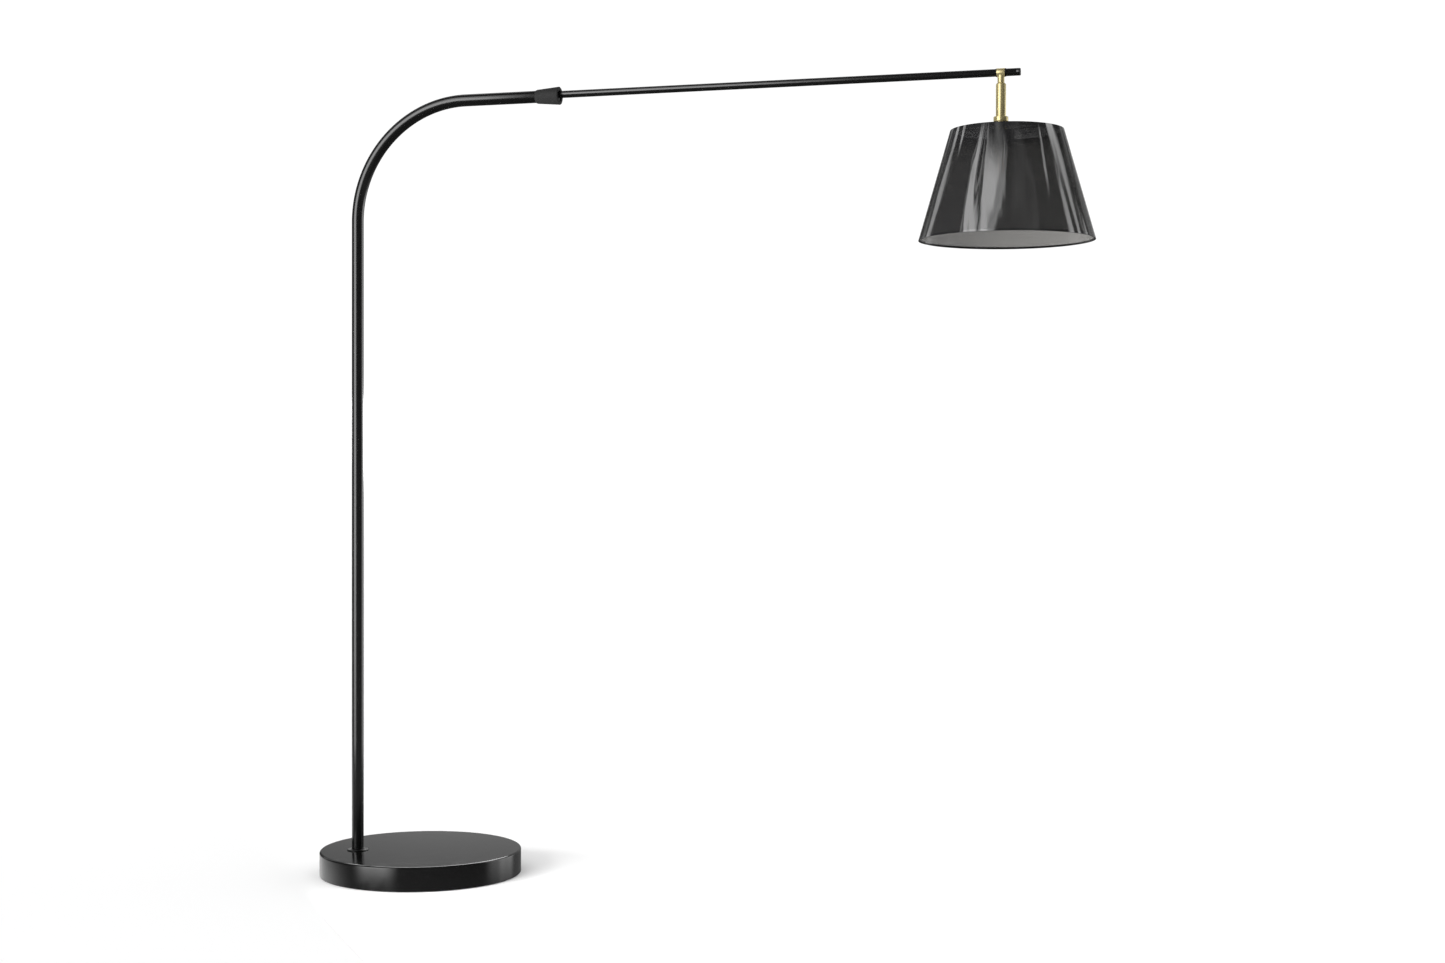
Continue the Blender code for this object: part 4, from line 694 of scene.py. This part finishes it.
def cone(z, inset):
    """A point of the cone's section that lies this far inside the shade's outside."""
    share = (shade_top - z) / (shade_top - shade_bottom)
    return (shade_top_r + share * (shade_bottom_r - shade_top_r) - inset, z)


levels = 24
outer = [cone(shade_top - (shade_top - shade_bottom) * i / levels, 0) for i in range(levels + 1)]
inner = [cone(shade_bottom + (shade_top - shade_bottom) * i / levels, 0.001) for i in range(levels + 1)]
sheet = turned("smoked_shade_sheet", outer + inner + outer[:1], shade_axis, 256)
soften(sheet)
# PVC sheet, calendered with smoke in it and pressed to a wet gloss: nearly black, with some light through it and
# less towards the top, and solid at the hems. The sheet is never quite flat. A slow 50 mm wave and a quick 18 mm one
# run down it, and a slight waist near its top, so it breaks what it mirrors into long upright streaks.
smoke, tree, shader = paint("smoked_gloss_pvc_sheet", "#101011", 0.04)
shader.inputs["IOR"].default_value = 2.8
smoke_low, smoke_top, hem_above, hem_below = 0.60, 0.84, shade_top - 0.0075, shade_bottom + 0.004
place = add_node(tree, "ShaderNodeTexCoord").outputs["Object"]
above = add_node(tree, "ShaderNodeSeparateXYZ", {0: place}).outputs[2]
hem_top = add_node(tree, "ShaderNodeMath", {0: above, 1: hem_above}, operation="GREATER_THAN").outputs[0]
hem_low = add_node(tree, "ShaderNodeMath", {0: above, 1: hem_below}, operation="LESS_THAN").outputs[0]
hem = add_node(tree, "ShaderNodeMath", {0: hem_top, 1: hem_low}, operation="MAXIMUM").outputs[0]
tinted = add_node(tree, "ShaderNodeMapRange", {
    0: above, 1: shade_top - 0.055, 2: shade_top - 0.020, 3: smoke_low, 4: smoke_top,
}, interpolation_type="SMOOTHSTEP").outputs[0]
solid = add_node(tree, "ShaderNodeMix", {0: hem, 2: tinted, 3: 1.0}).outputs[0]
tree.links.new(solid, shader.inputs["Alpha"])
# Distance round and down the sheet, with the way down drawn out so that the waves run down it.
place = add_node(tree, "ShaderNodeVectorMath", {0: place, 1: (shade_x, axis_y, shade_bottom)},
                 operation="SUBTRACT").outputs[0]
way = add_node(tree, "ShaderNodeVectorMath", {0: place, 1: (1, 1, 0)}, operation="MULTIPLY").outputs[0]
way = add_node(tree, "ShaderNodeVectorMath", {0: way}, operation="NORMALIZE").outputs[0]
way = add_node(tree, "ShaderNodeVectorMath", {0: way, 1: (0.14, 0.14, 0)}, operation="MULTIPLY").outputs[0]
down = add_node(tree, "ShaderNodeVectorMath", {0: place, 1: (0, 0, 0.16)}, operation="MULTIPLY").outputs[0]
place = add_node(tree, "ShaderNodeVectorMath", {0: way, 1: down}, operation="ADD").outputs[0]
slow_size, slow_depth, quick_size, quick_depth = 0.050, 0.011, 0.018, 0.0004
slow = add_node(tree, "ShaderNodeTexNoise", {
    "Vector": place, "Scale": 1 / slow_size, "Detail": 1.0, "Distortion": 0.5,
}).outputs[0]
quick = add_node(tree, "ShaderNodeTexNoise", {
    "Vector": place, "Scale": 1 / quick_size, "Detail": 2.0, "Distortion": 0.6,
}).outputs[0]
slow = add_node(tree, "ShaderNodeBump", {"Height": slow, "Strength": 1.0, "Distance": slow_depth}).outputs[0]
quick = add_node(tree, "ShaderNodeBump", {
    "Height": quick, "Strength": 1.0, "Distance": quick_depth, "Normal": slow,
}).outputs[0]
raised = add_node(tree, "ShaderNodeMath", {0: above, 1: shade_bottom}, operation="SUBTRACT").outputs[0]
waist = add_node(tree, "ShaderNodeMath", {0: raised, 1: 2.0}, operation="POWER").outputs[0]
waist = add_node(tree, "ShaderNodeMath", {0: waist, 1: -0.32}, operation="MULTIPLY").outputs[0]
bump = add_node(tree, "ShaderNodeBump", {"Height": waist, "Strength": 1.0, "Distance": 1.0, "Normal": quick})
tree.links.new(bump.outputs[0], shader.inputs["Normal"])
sheet.data.materials.append(smoke)
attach(sheet, "hanger")
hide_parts("shade_shell")
lining_top, lining_bottom, lining_out, lining_in = shade_top - 0.006, shade_bottom + 0.004, 0.0013, 0.0018
lining = turned("silver_lining_film", [
    cone(lining_top, lining_out), cone(lining_bottom, lining_out), cone(lining_bottom, lining_in),
    cone(lining_top, lining_in), cone(lining_top, lining_out),
], shade_axis, 256)
soften(lining)
# Polyester film, dusted with aluminium and left satin: warm grey with a weak sheen, thin enough for some light to
# pass. It lies in slow 20 mm ripples that are longer down the shade than round it.
silver, tree, shader = paint("satin_silvered_film", "#8a8884", 0.45, 0.15)
shader.inputs["Alpha"].default_value = 0.30
grain(tree, shader, 20.0, 0.2, 0.38, 0.5, (1, 1, 0.3))
lining.data.materials.append(silver)
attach(lining, "hanger")
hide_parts("shade_lining")
wire_r = 0.0015
rim_z = shade_bottom + wire_r
rim_r = cone(rim_z, lining_out + wire_r)[0]
rim = turned("lower_rim_wire", corner(wire_r, rim_r, rim_z, 0, 360, 12), shade_axis, 256)
soften(rim)
# Steel wire, dipped in black paint: a thin soft shine, with 2 mm runs in the coat.
wire_coat, tree, shader = paint("black_dipped_wire", "#0a0a0a", 0.4)
grain(tree, shader, 2.0, 0.02, 0.33, 0.48)
rim.data.materials.append(wire_coat)
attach(rim, "hanger")
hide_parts("shade_rim_wire")


# ---- Pieces that keep their CAD shape ---------------------------------------------------------------
# The spider in the shade's top, the foam pad, plate, screws and ballast of the base, and all that is inside: leads,
# fixings, bushes and contacts. Each gets the finish of its own material.
# Zinc plate on steel, passivated: bluish silver, brushed with 4 mm clouds.
zinc, tree, shader = paint("bright_zinc_plate", "#b9bcc0", 0.35, 1.0)
grain(tree, shader, 4.0, 0.02, 0.28, 0.45)
# Steel, turned and left bright: grey, with a shine that varies over 2 mm.
steel, tree, shader = paint("turned_bright_steel", "#a9a9ac", 0.3, 1.0)
grain(tree, shader, 2.0, 0.02, 0.25, 0.40)
# Foam, sliced from a closed-cell block: dead black, with 1.2 mm cells.
foam, tree, shader = paint("closed_cell_black_foam", "#0e0e0e", 0.95)
grain(tree, shader, 1.2, 0.2, 0.85, 1.0)
# Concrete, cast in a steel mould: pale grey and rough, with 4 mm specks of sand and air.
concrete, tree, shader = paint("cast_grey_concrete", "#8b8983", 0.9)
specks = grain(tree, shader, 4.0, 0.6, 0.8, 1.0, detail=6.0)
tint = add_node(tree, "ShaderNodeMix", {0: specks, 6: linear("#716f69"), 7: linear("#a5a39c")}, data_type="RGBA")
tree.links.new(tint.outputs[2], shader.inputs["Base Color"])
# PVC, extruded over the wires: black with a dull shine, and a faint 1.5 mm unevenness.
sheath, tree, shader = paint("black_pvc_lead_sheath", "#0f0f0f", 0.45)
grain(tree, shader, 1.5, 0.02, 0.38, 0.55)
# Nylon, turned from natural rod: bone white and waxy, with 1 mm turning marks.
natural, tree, shader = paint("natural_turned_nylon", "#ddd9cc", 0.45)
grain(tree, shader, 1.0, 0.02, 0.38, 0.55)
# Spring steel, tempered blue: dark blue-grey, with a soft shine in 2 mm patches.
spring, tree, shader = paint("blued_spring_steel", "#3a3b3f", 0.35, 1.0)
grain(tree, shader, 2.0, 0.02, 0.3, 0.42)
# Vitrite, black slag glass poured into the cap: near black and glossy, with 2 mm flow marks.
vitrite, tree, shader = paint("black_vitrite_glass", "#050507", 0.15)
grain(tree, shader, 2.0, 0.02, 0.12, 0.25)
finishes = {
    foam: ["base_pad"],
    zinc: ["base_plate", "plate_screw_1", "plate_screw_2", "plate_screw_3", "foot_washer",
           "foot_spring_washer", "foot_nut", "nipple_nut", "stem_nipple", "filament_link"],
    steel: ["foot_plug", "collar_nose"],
    concrete: ["base_weight"],
    sheath: ["base_lead", "column_lead", "arm_lead", "stem_lead"],
    natural: ["arm_tail_bush"],
    spring: ["tail_ring_rear", "tail_ring_front"],
    rolled: ["centre_contact"],
    vitrite: ["bulb_button"],
    wire_coat: ["shade_spider"],
}
for finish, nodes in finishes.items():
    for node in nodes:
        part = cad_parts[node]
        part.data.materials.clear()
        part.data.materials.append(finish)
